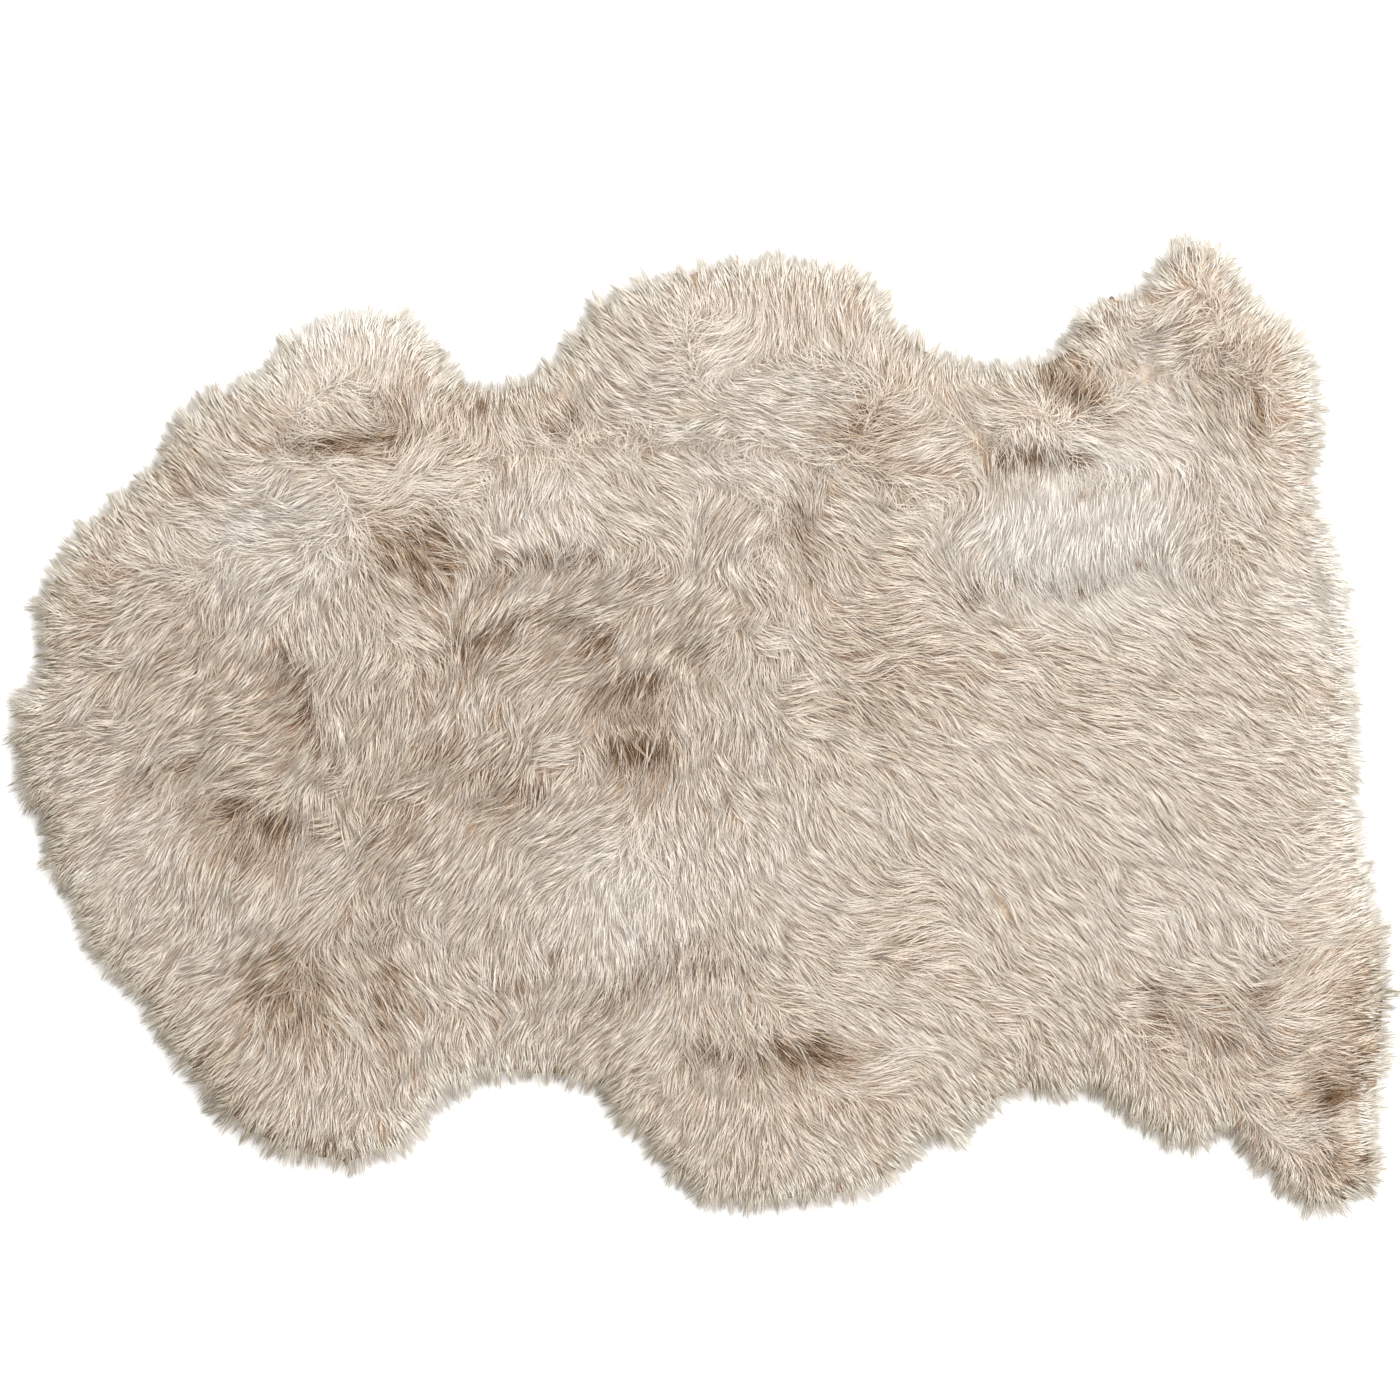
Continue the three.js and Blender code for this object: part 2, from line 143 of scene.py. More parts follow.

# Partings, where the wool opens: its darker roots show, and painted shade darkens it further. Each has its
# two ends in the photograph's pixels, its width in pixels and how dark it is, up to 1
PARTINGS = (
    ("upper left crease", 300, 447, 400, 443, 9, 0.9),
    ("over that crease", 375, 406, 408, 404, 8, 0.5),
    ("upper left thread", 220, 437, 290, 450, 6, 0.5),
    ("left shoulder", 185, 485, 208, 503, 8, 0.5),
    ("left hollow", 292, 655, 318, 745, 12, 0.8),
    ("top left dent", 555, 434, 583, 415, 9, 0.8),
    ("under the left crest", 500, 560, 600, 563, 9, 0.7),
    ("middle dark tuft", 552, 610, 602, 641, 14, 0.95),
    ("beside the middle tuft", 632, 572, 650, 580, 9, 0.5),
    ("middle left", 452, 655, 530, 612, 12, 0.75),
    ("centre crease", 600, 692, 655, 680, 14, 1.0),
    ("right of the centre crease", 688, 648, 702, 655, 10, 0.6),
    ("crest crease", 783, 500, 800, 540, 8, 0.55),
    ("crest crease, lower", 800, 540, 816, 577, 8, 0.55),
    ("below the crest crease", 752, 588, 770, 594, 8, 0.5),
    ("curl over the middle", 845, 440, 868, 432, 7, 0.5),
    ("curl beside it", 866, 466, 880, 474, 9, 0.6),
    ("whorl, upper line", 1040, 383, 1092, 402, 9, 1.0),
    ("whorl, its end", 1092, 408, 1108, 422, 8, 0.6),
    ("line above the smooth panel", 1000, 458, 1085, 463, 9, 1.0),
    ("right of that line", 1078, 497, 1127, 477, 8, 0.65),
    ("ear arc", 1212, 357, 1248, 349, 8, 0.5),
    ("ear thread", 1184, 325, 1188, 362, 6, 0.5),
    ("ear shadow", 1088, 334, 1112, 326, 12, 0.45),
    ("ear base", 1250, 380, 1252, 442, 11, 0.5),
    ("edge of the smooth panel, left", 945, 602, 1010, 582, 5, 0.75),
    ("edge of the smooth panel, middle", 1010, 582, 1090, 590, 5, 0.85),
    ("edge of the smooth panel, right", 1090, 590, 1165, 552, 5, 0.65),
    ("below the panel, left", 960, 604, 988, 588, 8, 0.45),
    ("left long crease", 150, 776, 215, 757, 9, 0.6),
    ("left dark crease", 232, 806, 296, 828, 15, 1.0),
    ("left spot", 333, 742, 337, 768, 10, 0.6),
    ("lower left spot", 252, 848, 240, 872, 9, 0.5),
    ("middle of the left", 328, 828, 348, 836, 9, 0.5),
    ("dark hollow", 622, 752, 662, 748, 16, 1.0),
    ("lower left crease", 350, 951, 396, 934, 9, 0.6),
    ("below the left field", 490, 991, 562, 959, 8, 0.55),
    ("long arc, left", 600, 1002, 680, 962, 11, 0.5),
    ("long arc, right", 680, 962, 742, 976, 11, 0.45),
    ("bottom valley, left", 688, 1050, 762, 1060, 11, 0.75),
    ("bottom valley, right", 782, 1047, 835, 1053, 12, 1.0),
    ("below the bottom valley", 820, 1111, 852, 1094, 8, 0.5),
    ("right mound, left side", 1150, 983, 1158, 1018, 12, 0.75),
    ("right mound, lower side", 1212, 1040, 1302, 1042, 9, 0.55),
    ("right mound, crease", 1268, 956, 1302, 939, 8, 0.5),
    ("corner hollow", 1318, 1078, 1326, 1104, 12, 1.0),
    ("below the corner hollow", 1328, 1108, 1322, 1168, 8, 0.75),
    ("tan band, left", 430, 752, 480, 768, 12, 0.55),
    ("tan band, right", 495, 775, 545, 800, 13, 0.65),
    ("right mound, middle", 1215, 1000, 1262, 985, 12, 0.55),
    ("corner", 1328, 1142, 1333, 1160, 8, 0.6),
    ("turned edge", 900, 336, 1000, 371, 11, 0.45),
    ("bottom rim shadow", 318, 1145, 348, 1152, 14, 0.6),
)

# Paler and darker places: the middle in the photograph's pixels, the reach in pixels and how much paler the
# wool is there, below 0 where it is darker
SHADES = (
    ("left band", 180, 668, 80, -0.13),
    ("left band, middle", 260, 770, 80, -0.07),
    ("left band, right", 410, 740, 75, -0.07),
    ("tan patch", 500, 775, 55, -0.13),
    ("round the dark hollow", 640, 745, 50, -0.11),
    ("tan hollow, upper left", 418, 556, 48, -0.40),
    ("middle", 600, 650, 75, -0.11),
    ("round the radiating hollow", 295, 990, 48, -0.36),
    ("right of the centre", 865, 680, 75, -0.15),
    ("centre right", 930, 650, 80, -0.07),
    ("right field", 1090, 730, 100, -0.03),
    ("right field, lower", 1000, 810, 100, 0.02),
    ("upper left crease", 375, 430, 45, -0.14),
    ("left shoulder", 195, 480, 36, -0.15),
    ("left end", 100, 600, 30, -0.15),
    ("ear base", 1235, 395, 45, -0.22),
    ("ear", 1210, 310, 30, -0.12),
    ("whorl", 1065, 395, 34, -0.30),
    ("curl", 865, 445, 38, -0.24),
    ("crest", 800, 540, 40, -0.12),
    ("right mound", 1190, 1015, 50, -0.16),
    ("corner hollow", 1315, 1085, 30, -0.40),
    ("bottom valley", 790, 1052, 42, -0.20),
    ("long arc", 670, 985, 65, -0.03),
    ("smooth panel", 1087, 545, 90, 0.42),
    ("pale panel", 620, 905, 75, 0.17),
    ("top lobe", 740, 300, 90, -0.03),
    ("upper left lobe", 340, 345, 85, 0.14),
    ("strip beyond the right edge", 1325, 600, 60, 0.20),
    ("right end", 1330, 900, 60, 0.08),
    ("lower left field", 200, 950, 90, -0.01),
    ("bottom lobe", 800, 1165, 90, -0.02),
    ("under the top lobe", 735, 412, 95, 0.12),
    ("under the ear", 1140, 440, 75, 0.10),
    ("left end, lower", 120, 860, 60, 0.10),
    ("middle, right of the hollow", 770, 680, 60, 0.02),
    ("smooth panel, left", 1005, 555, 50, 0.30),
    ("bottom right corner", 1375, 1000, 65, -0.34),
    ("upper left bay", 470, 408, 60, -0.18),
    ("left of the middle, upper", 350, 665, 100, -0.06),
    ("left dark crease", 235, 830, 48, -0.21),
    ("left of the pale panel", 390, 835, 52, -0.19),
    ("right of the bottom lobe", 900, 1090, 60, -0.06),
    ("corner tip", 1355, 1180, 42, -0.32),
    ("right of the radiating hollow", 385, 1000, 45, -0.22),
    ("left of the lower left lobe", 215, 1095, 45, -0.26),
    ("over the left shoulder", 25, 835, 50, -0.14),
    ("left field, upper", 275, 545, 85, 0.18),
    ("above the middle tuft", 490, 650, 40, -0.16),
    ("below the smooth panel", 1090, 645, 62, -0.09),
    ("right of the pale panel", 920, 915, 55, -0.09),
    ("ragged lower edge", 1030, 1060, 70, -0.02),
    ("middle crest", 555, 528, 60, 0.14),
    ("above the right mound", 1175, 910, 65, 0.09),
    ("lower middle", 760, 870, 70, 0.07),
)

# Places where the wool lies smooth: the middle in the photograph's pixels and the reach in pixels
CALM = (
    ("smooth panel", 1100, 545, 100),
    ("right field", 1170, 720, 190),
    ("right field, lower", 1000, 850, 130),
    ("pale panel", 620, 905, 100),
    ("lower left field", 190, 950, 100),
    ("top lobe", 740, 300, 100),
    ("upper left lobe", 340, 345, 85),
    ("strip beyond the right edge", 1340, 640, 60),
    ("bottom lobe", 800, 1160, 90),
)

# Colours of the wool from its darkest to its palest strands, at the root and at the tip
WOOL_TONES = (
    # place on the map, root, tip
    (0.00, "#3A2614", "#866645"),
    (0.32, "#6A4C30", "#C2A88B"),
    (0.55, "#A2876E", "#E2D4C4"),
    (0.78, "#D4C6B5", "#EEE6DB"),
    (1.00, "#E6DFD5", "#F2EDE6"),
)

# The same for the wool of the rim: greyer, as painted shade where the wool falls away to the floor
RIM_PAINTED_SHADE_TONES = (
    # place on the map, root, tip
    (0.00, "#4B4134", "#857B6A"),
    (0.30, "#7D6F5D", "#B9AE9C"),
    (0.55, "#A69884", "#D6CDBE"),
    (0.78, "#CEC3B3", "#E9E3D9"),
    (1.00, "#E2DBD0", "#F9F6F1"),
)

# Lights of the stage: name, place, width and the size that holds the power
LIGHTS = (
    ("key_light", (1.6, 3.0, 3.4), 2.3, "key_power"),
    ("fill_light", (0.8, -0.4, 2.4), 2.4, "fill_power"),
)


def linear(hex_colour):
    """An sRGB hex colour as linear red, green, blue and 1."""
    channels = [int(hex_colour[i : i + 2], 16) / 255 for i in (1, 3, 5)]
    return [c / 12.92 if c <= 0.04045 else ((c + 0.055) / 1.055) ** 2.4 for c in channels] + [1.0]


SUEDE = linear("#CEBCA4")[:3]


class WoolSizes(bpy.types.PropertyGroup):
    """Sizes of the wool that a user would change"""

    lock_pitch: bpy.props.FloatProperty(
        name="Lock pitch", description="Distance between neighbouring locks", default=9.0 * MM, unit="LENGTH"
    )
    lock_length: bpy.props.FloatProperty(
        name="Lock length", description="Length of the long wool", default=46 * MM, unit="LENGTH"
    )
    strand_width: bpy.props.FloatProperty(
        name="Strand width", description="Width of a wisp of fibres", default=0.45 * MM, unit="LENGTH"
    )
    tuft_pitch: bpy.props.FloatProperty(
        name="Tuft pitch", description="Distance between neighbouring tufts", default=23 * MM, unit="LENGTH"
    )
    tuft_height: bpy.props.FloatProperty(
        name="Tuft height", description="Height of a tuft over its troughs", default=1.6 * MM, unit="LENGTH"
    )
    base_tone: bpy.props.FloatProperty(
        name="Tone", description="How pale the plain wool is", default=0.735, subtype="FACTOR"
    )


class SkinSizes(bpy.types.PropertyGroup):
    """Sizes and colour of the tanned skin and the undercoat"""

    thickness: bpy.props.FloatProperty(
        name="Skin thickness", description="Thickness of the tanned skin", default=1.8 * MM, unit="LENGTH"
    )
    sunk: bpy.props.FloatProperty(
        name="Undercoat depth", description="How far the undercoat lies in", default=4.0 * MM, unit="LENGTH"
    )
    voxel: bpy.props.FloatProperty(
        name="Undercoat mesh", description="Size of the undercoat's mesh faces", default=8 * MM, unit="LENGTH"
    )
    suede: bpy.props.FloatVectorProperty(
        name="Suede", description="Colour of the flesh side", default=SUEDE, subtype="COLOR", size=3
    )


class StageSizes(bpy.types.PropertyGroup):
    """Camera, floor and light"""

    camera_height: bpy.props.FloatProperty(
        name="Camera height", description="Height of the camera over the floor", default=4.0, unit="LENGTH"
    )
    floor_width: bpy.props.FloatProperty(
        name="Floor", description="Width of the pale floor", default=14.0, unit="LENGTH"
    )
    key_power: bpy.props.FloatProperty(name="Key light", description="Power in watts", default=155.0)
    fill_power: bpy.props.FloatProperty(name="Fill light", description="Power in watts", default=30.0)
    ambient: bpy.props.FloatProperty(
        name="Ambient", description="Strength of the light from all round", default=1.10
    )


def from_photo(x, y):
    """A place in the photograph's pixels, in metres of the frame."""
    return (np.asarray(x) - PHOTO_MIDDLE_X) * PIXEL, (PHOTO_MIDDLE_Y - np.asarray(y)) * PIXEL


def select_only(obj):
    bpy.ops.object.select_all(action="DESELECT")
    obj.select_set(True)
    bpy.context.view_layer.objects.active = obj


def apply_modifier(obj, kind, **settings):
    """Adds a modifier with its settings and applies it."""
    select_only(obj)
    modifier = obj.modifiers.new(kind.title(), kind)
    for name, value in settings.items():
        setattr(modifier, name, value)
    bpy.ops.object.modifier_apply(modifier=modifier.name)


def copy_of_solid(name):
    """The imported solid's mesh as a new piece, its loose triangles joined."""
    obj = bpy.data.objects.new(name, bpy.data.objects[NODE].data.copy())
    bpy.context.collection.objects.link(obj)
    obj.data.materials.clear()
    select_only(obj)
    bpy.ops.object.mode_set(mode="EDIT")
    bpy.ops.mesh.select_all(action="SELECT")
    bpy.ops.mesh.remove_doubles(threshold=0.02 * MM)
    bpy.ops.object.mode_set(mode="OBJECT")
    return obj


def vertex_places(obj):
    places = np.empty(len(obj.data.vertices) * 3)
    obj.data.vertices.foreach_get("co", places)
    return places.reshape(-1, 3)


def add_node(tree, kind, inputs=(), settings=()):
    """Adds a node with its settings, and sets or links each of its inputs."""
    node = tree.nodes.new(kind)
    for name, value in dict(settings).items():
        setattr(node, name, value)
    for name, value in dict(inputs).items():
        if isinstance(value, bpy.types.NodeSocket):
            tree.links.new(value, node.inputs[name])
        else:
            node.inputs[name].default_value = value
    return node


def new_material(name):
    material = bpy.data.materials.new(name)
    material.use_nodes = True
    material.node_tree.nodes.clear()
    return material, material.node_tree


def finish_piece(obj, material, replaces=False):
    """Gives a piece its material, smooth shading and body, and hides the imported solid when it replaces it.
    """
    obj.data.materials.append(material)
    obj.data.shade_smooth()
    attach(obj, BODY)
    if replaces:
        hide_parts(NODE)


def eased(share):
    """A share from 0 to 1 with a soft start and end."""
    return share * share * (3 - 2 * share)


def fading(distance, reach):
    """1 at no distance, and 0 from the reach on."""
    return np.clip(1 - distance / reach, 0, 1)


def rising(value, start, span):
    """0 up to the start, and 1 from a span past it."""
    return np.clip((value - start) / span, 0, 1)


def unit(x, y):
    """A direction of length 1."""
    size = np.maximum(np.hypot(x, y), 1e-9)
    return x / size, y / size


def patch(x, y, middle_x, middle_y, reach, hardness=1.0):
    """1 at a place given in the photograph's pixels, and less and less away from it."""
    middle_x, middle_y = from_photo(middle_x, middle_y)
    return np.exp(-(((x - middle_x) ** 2 + (y - middle_y) ** 2) / (reach * PIXEL) ** 2) ** hardness)


def between(values, column, row, rounded=False):
    """Values of a grid at fractions of its columns and rows, rounded so that noise has no corners."""
    column = np.clip(column, 0, values.shape[0] - 1.001)
    row = np.clip(row, 0, values.shape[1] - 1.001)
    i, j = column.astype(int), row.astype(int)
    a, b = column - i, row - j
    if rounded:
        a, b = eased(a), eased(b)
    left = values[i, j] * (1 - b) + values[i, j + 1] * b
    right = values[i + 1, j] * (1 - b) + values[i + 1, j + 1] * b
    return left * (1 - a) + right * a


class Fields:
    """Height of the wool, distance in from its rim, its lay and its tone, all read at any place."""

    STEP = 2.5 * MM
    MARGIN = 24 * MM
    DROP = 1.0  # height that the rays start from
    CHUNK = 4000  # number of places whose distances are worked out together
    RIM_HEIGHT = 9 * MM  # height of the wool at the rim, from where it falls to the least height
    LEAST_HEIGHT = 1.5 * MM
    RIM_FALL = 1.5
    TUFT_SHIFT = 0.3  # how far tufts stray from their lattice, as a share of their pitch
    TUFT_SLOPE = 0.55  # width of the slope between two tufts, as a share of their pitch
    TUFT_STRENGTHS = (0.25, 1.25)
    TUFT_TURN = 0.26  # how much tufts turn their wool, in radians
    TUFT_SHADE = 0.030
    # Painted shade: the troughs between tufts are darker.
    TROUGH_PAINTED_SHADE = 0.07
    CALMING = 0.85  # how much less the tufts of a smooth place stand out
    WANDER = 5 * MM  # how far a parting strays from its straight line
    RAGGED = 9 * MM  # how ragged the edge of a paler or darker place is
    SHADE_HARDNESS = 1.6  # how firm that edge is
    RELIEF_REACH = 14 * MM
    RIM_REACH = 14 * MM
    # Painted shade: the wool is darker at the rim that faces away from the key light.
    RIM_PAINTED_SHADE = 0.28  # how much darker the wool is at a rim that faces the lower left
    WHORL_REACH = 7 * MM
    WHORL_GAIN = 25  # how strongly a spreading lay counts as a whorl, in millimetres
    CREASE_WIDTH = 0.30  # how near its zero the crease noise opens the wool
    CREASE_SHARE = 0.85  # how open the wool is at its most in the small creases of a tan place
    CREASED_FROM, CREASED_SPAN = 0.06, 0.14  # how tan a place is where such creases start, and to the full
    MOTTLED = 0.25  # how much of a parting's darkness comes and goes along it
    TAN_SHARE = 0.55  # how much of a dark place is a darker mean, the rest being tan wool among pale
    # Painted light and shade: the wool is paler where it stands proud and darker where it lies low.
    RELIEF_PAINTED_SHADING = 0.014  # how much paler the wool is for each millimetre that it stands proud

    def __init__(self, sizes):
        low, high = CAD_BOX
        self.low = np.array(low[:2]) - self.MARGIN
        self.count = np.ceil((np.array(high[:2]) + self.MARGIN - self.low) / self.STEP).astype(int) + 1
        self.height, inside = self._cast_rays()
        self.inset = self._distances(inside)
        outside_height = np.maximum(self.LEAST_HEIGHT, self.RIM_HEIGHT + self.RIM_FALL * self.inset)
        self.height = np.where(inside, self.height, outside_height)
        readings = np.array([reading for _, *row in LAY for reading in row], float)
        self.lay_x, self.lay_y = from_photo(readings[:, 0], readings[:, 1])
        self.lay_angle = np.radians(readings[:, 2])
        wander = np.random.default_rng(8)
        self.wander_x, self.wander_y = Drift(wander, 9 * MM), Drift(wander, 9 * MM)
        self.creases, self.breaks = Drift(wander, 8 * MM), Drift(wander, 12 * MM)
        self._raise_tufts(np.random.default_rng(5), sizes)
        self.whorl = self._find_whorls()

    def _grid(self):
        """The x and the y of every grid place."""
        x = self.low[0] + np.arange(self.count[0]) * self.STEP
        y = self.low[1] + np.arange(self.count[1]) * self.STEP
        return np.meshgrid(x, y, indexing="ij")

    def _raise_tufts(self, rng, sizes):
        """Clumps of wool with soft troughs between them, which also turn it and vary its tone, with painted
        shade in the troughs and painted light where the wool stands proud.
        """
        x, y = self._grid()
        pitch = sizes.tuft_pitch
        shift_x, shift_y = Drift(rng, 0.8 * pitch), Drift(rng, 0.8 * pitch)
        places_x = (x + self.TUFT_SHIFT * pitch * shift_x.at(x, y)).ravel()
        places_y = (y + self.TUFT_SHIFT * pitch * shift_y.at(x, y)).ravel()
        seed_x, seed_y = shaken_lattice(rng, pitch, self.low, self.low + self.count * self.STEP)
        owner, lead = self._nearest(places_x, places_y, seed_x, seed_y)
        owner = owner.reshape(x.shape)
        edge = np.clip(lead / (self.TUFT_SLOPE * pitch), 0, 1).reshape(x.shape)

        rough = np.ones_like(x)
        for _, *place_and_reach in CALM:
            rough *= 1 - self.CALMING * patch(x, y, *place_and_reach)
        seeds = len(seed_x)
        strength = rng.uniform(*self.TUFT_STRENGTHS, seeds)[owner] * rough
        inner = rising(self.inset, 8 * MM, 20 * MM)
        self.height = self.height + sizes.tuft_height * strength * inner * (eased(edge) - 0.6)
        self.turn = rng.normal(0, self.TUFT_TURN, seeds)[owner] * (0.3 + 0.7 * rough)
        relief = (self.height - self._blurred(self.height, self.RELIEF_REACH)) / MM
        shade = rng.normal(0, self.TUFT_SHADE, seeds)[owner] * (0.4 + 0.6 * rough)
        # Painted shade in the troughs, painted light where the wool stands proud and painted shade where it
        # lies low
        shade = shade - self.TROUGH_PAINTED_SHADE * strength * (1 - edge) ** 2
        self.shade = shade + self.RELIEF_PAINTED_SHADING * np.clip(relief, -6, 6) * inner

    def _nearest(self, x, y, seed_x, seed_y):
        """Which seed is nearest to each place, and how much nearer than the next one."""
        owner, lead = np.empty(x.size, int), np.empty(x.size)
        for start in range(0, x.size, self.CHUNK):
            part = slice(start, start + self.CHUNK)
            gaps = np.hypot(x[part, None] - seed_x, y[part, None] - seed_y)
            rows = np.arange(len(gaps))
            first = gaps.argmin(axis=1)
            nearest = gaps[rows, first]
            gaps[rows, first] = np.inf
            owner[part] = first
            lead[part] = gaps.min(axis=1) - nearest
        return owner, lead

    def _find_whorls(self):
        """Where the lay spreads every way, from 0 to 1: there the wool stands up and strays."""
        x, y = self._grid()
        lay_x, lay_y = self.lay_at(x.ravel(), y.ravel())
        spread = np.gradient(lay_x.reshape(x.shape), self.STEP, axis=0)
        spread += np.gradient(lay_y.reshape(x.shape), self.STEP, axis=1)
        return np.clip(self._blurred(spread, self.WHORL_REACH) * self.WHORL_GAIN * MM, 0, 1)

    def _blurred(self, grid, reach):
        """The grid's mean over a Gaussian window."""
        steps = np.arange(-round(2.5 * reach / self.STEP), round(2.5 * reach / self.STEP) + 1)
        window = np.exp(-((steps * self.STEP / reach) ** 2))
        window /= window.sum()
        margin = len(steps) // 2

        def smoothed(line):
            return np.convolve(np.pad(line, margin, mode="edge"), window, mode="valid")

        return np.apply_along_axis(smoothed, 1, np.apply_along_axis(smoothed, 0, grid))

    def _cast_rays(self):
        mesh = bpy.data.objects[NODE].data
        tree = BVHTree.FromPolygons([v.co for v in mesh.vertices], [face.vertices for face in mesh.polygons])
        height = np.zeros(self.count)
        inside = np.zeros(self.count, bool)
        for i in range(self.count[0]):
            for j in range(self.count[1]):
                x, y = self.low[0] + i * self.STEP, self.low[1] + j * self.STEP
                hit = tree.ray_cast((x, y, self.DROP), (0, 0, -1))[0]
                if hit is not None:
                    height[i, j] = hit.z
                    inside[i, j] = True
        return height, inside

    def _distances(self, inside):
        """Distance from the rim of every grid place, negative outside it."""
        padded = np.pad(inside, 1)
        neighbours = padded[2:, 1:-1] & padded[:-2, 1:-1] & padded[1:-1, 2:] & padded[1:-1, :-2]
        rim = np.argwhere(inside & ~neighbours)
        places = np.argwhere(np.ones_like(inside))
        nearest = np.empty(len(places))
        for start in range(0, len(places), self.CHUNK):
            part = slice(start, start + self.CHUNK)
            gaps = ((places[part, None, :] - rim[None, :, :]) ** 2).sum(axis=2)
            nearest[part] = np.sqrt(gaps.min(axis=1))
        return nearest.reshape(inside.shape) * self.STEP * np.where(inside, 1, -1)

    def read(self, grid, x, y):
        """A grid's value between its places."""
        return between(grid, (x - self.low[0]) / self.STEP, (y - self.low[1]) / self.STEP)

    def height_at(self, x, y):
        return self.read(self.height, x, y)

    def inset_at(self, x, y):
        return self.read(self.inset, x, y)

    def outward_at(self, x, y):
        """Unit direction towards the rim."""
        step = 2 * self.STEP
        dx = self.inset_at(x - step, y) - self.inset_at(x + step, y)
        dy = self.inset_at(x, y - step) - self.inset_at(x, y + step)
        return unit(dx, dy)

    def lay_at(self, x, y, sharpness=4.0, soften=8 * MM, rim_pull=1.2, rim_reach=22 * MM):
        """Unit direction in which the wool lies, turned outwards near the rim."""
        gaps = (x[:, None] - self.lay_x) ** 2 + (y[:, None] - self.lay_y) ** 2
        weights = (gaps + soften**2) ** (-sharpness / 2)
        weights /= weights.sum(axis=1, keepdims=True)
        dx, dy = weights @ np.cos(self.lay_angle), weights @ np.sin(self.lay_angle)
        out_x, out_y = self.outward_at(x, y)
        pull = rim_pull * fading(self.inset_at(x, y), rim_reach)
        return unit(dx + pull * out_x, dy + pull * out_y)

    def _strayed(self, x, y, reach):
        """Places moved a little, so that what is read at them has an uneven edge."""
        return x + reach * self.wander_x.at(x, y), y + reach * self.wander_y.at(x, y)

    def parting_at(self, x, y):
        """How open the wool is, from 0 to 1."""
        x, y = self._strayed(x, y, self.WANDER)
        open_share = np.zeros_like(x)
        for _, x1, y1, x2, y2, width, dark in PARTINGS:
            ax, ay = from_photo(x1, y1)
            bx, by = from_photo(x2, y2)
            dx, dy = bx - ax, by - ay
            along = np.clip(((x - ax) * dx + (y - ay) * dy) / (dx * dx + dy * dy), 0, 1)
            gap = np.hypot(x - ax - along * dx, y - ay - along * dy)
            open_share = np.maximum(open_share, dark * np.exp(-((gap / (width * PIXEL)) ** 2)))
        crease = fading(np.abs(self.creases.at(x, y)), self.CREASE_WIDTH)
        small = crease * np.clip(0.55 + 1.1 * self.breaks.at(x, y), 0, 1)
        tan = rising(self.mixed_at(x, y), self.CREASED_FROM, self.CREASED_SPAN)
        mottled = open_share * (1 - self.MOTTLED + self.MOTTLED * np.clip(1.8 * crease, 0, 1))
        return np.maximum(mottled, self.CREASE_SHARE * small * tan)

    def turn_at(self, x, y):
        """How far a tuft turns its wool from the lay, in radians."""
        column = np.clip(np.round((x - self.low[0]) / self.STEP).astype(int), 0, self.count[0] - 1)
        row = np.clip(np.round((y - self.low[1]) / self.STEP).astype(int), 0, self.count[1] - 1)
        return self.turn[column, row]

    def tone_at(self, x, y, base):
        """How pale the wool is, from the tone of plain wool."""
        paler = self.paler_at(x, y)
        at_rim = fading(self.inset_at(x, y), self.RIM_REACH)
        # Painted shade where the rim faces away from the key light, on top of the tufts' tone with its
        # painted light and shade
        shade = self.read(self.shade, x, y) - self.RIM_PAINTED_SHADE * at_rim * self.turned_away(x, y)
        return base + shade + np.where(paler > 0, 1.0, self.TAN_SHARE) * paler

    def turned_away(self, x, y):
        """How far the rim there faces the lower left, away from the key light, from 0 to 1: there painted
        shade makes its wool greyer.
        """
        out_x, out_y = self.outward_at(x, y)
        return np.clip(-0.85 * out_x - 0.5 * out_y, 0, 1)

    def mixed_at(self, x, y):
        """How much tan wool stands among the pale, up to about 0.5."""
        return np.maximum(-self.paler_at(x, y), 0)

    def paler_at(self, x, y):
        """How much paler the wool is in the places of the table, below 0 where it is darker."""
        x, y = self._strayed(x, y, self.RAGGED)
        paler = np.zeros_like(x)
        for _, *place_and_reach, share in SHADES:
            paler += share * patch(x, y, *place_and_reach, hardness=self.SHADE_HARDNESS)
        return paler


class Drift:
    """Smooth seeded noise from -1 to 1 with lumps of a given size."""

    def __init__(self, rng, size):
        self.size = size
        self.low = np.array(CAD_BOX[0][:2]) - 3 * size
        count = np.ceil((np.array(CAD_BOX[1][:2]) + 3 * size - self.low) / size).astype(int) + 2
        self.values = rng.uniform(-1, 1, count)

    def at(self, x, y):
        column, row = (x - self.low[0]) / self.size, (y - self.low[1]) / self.size
        return between(self.values, column, row, rounded=True)


def fill_ramp(ramp, tones, column):
    """Sets a colour ramp to one column of a table of tones."""
    elements = ramp.color_ramp.elements
    while len(elements) < len(tones):
        elements.new(0.5)
    for element, tone in zip(elements, tones):
        element.position = tone[0]
    for element, tone in zip(elements, tones):
        element.color = linear(tone[column])


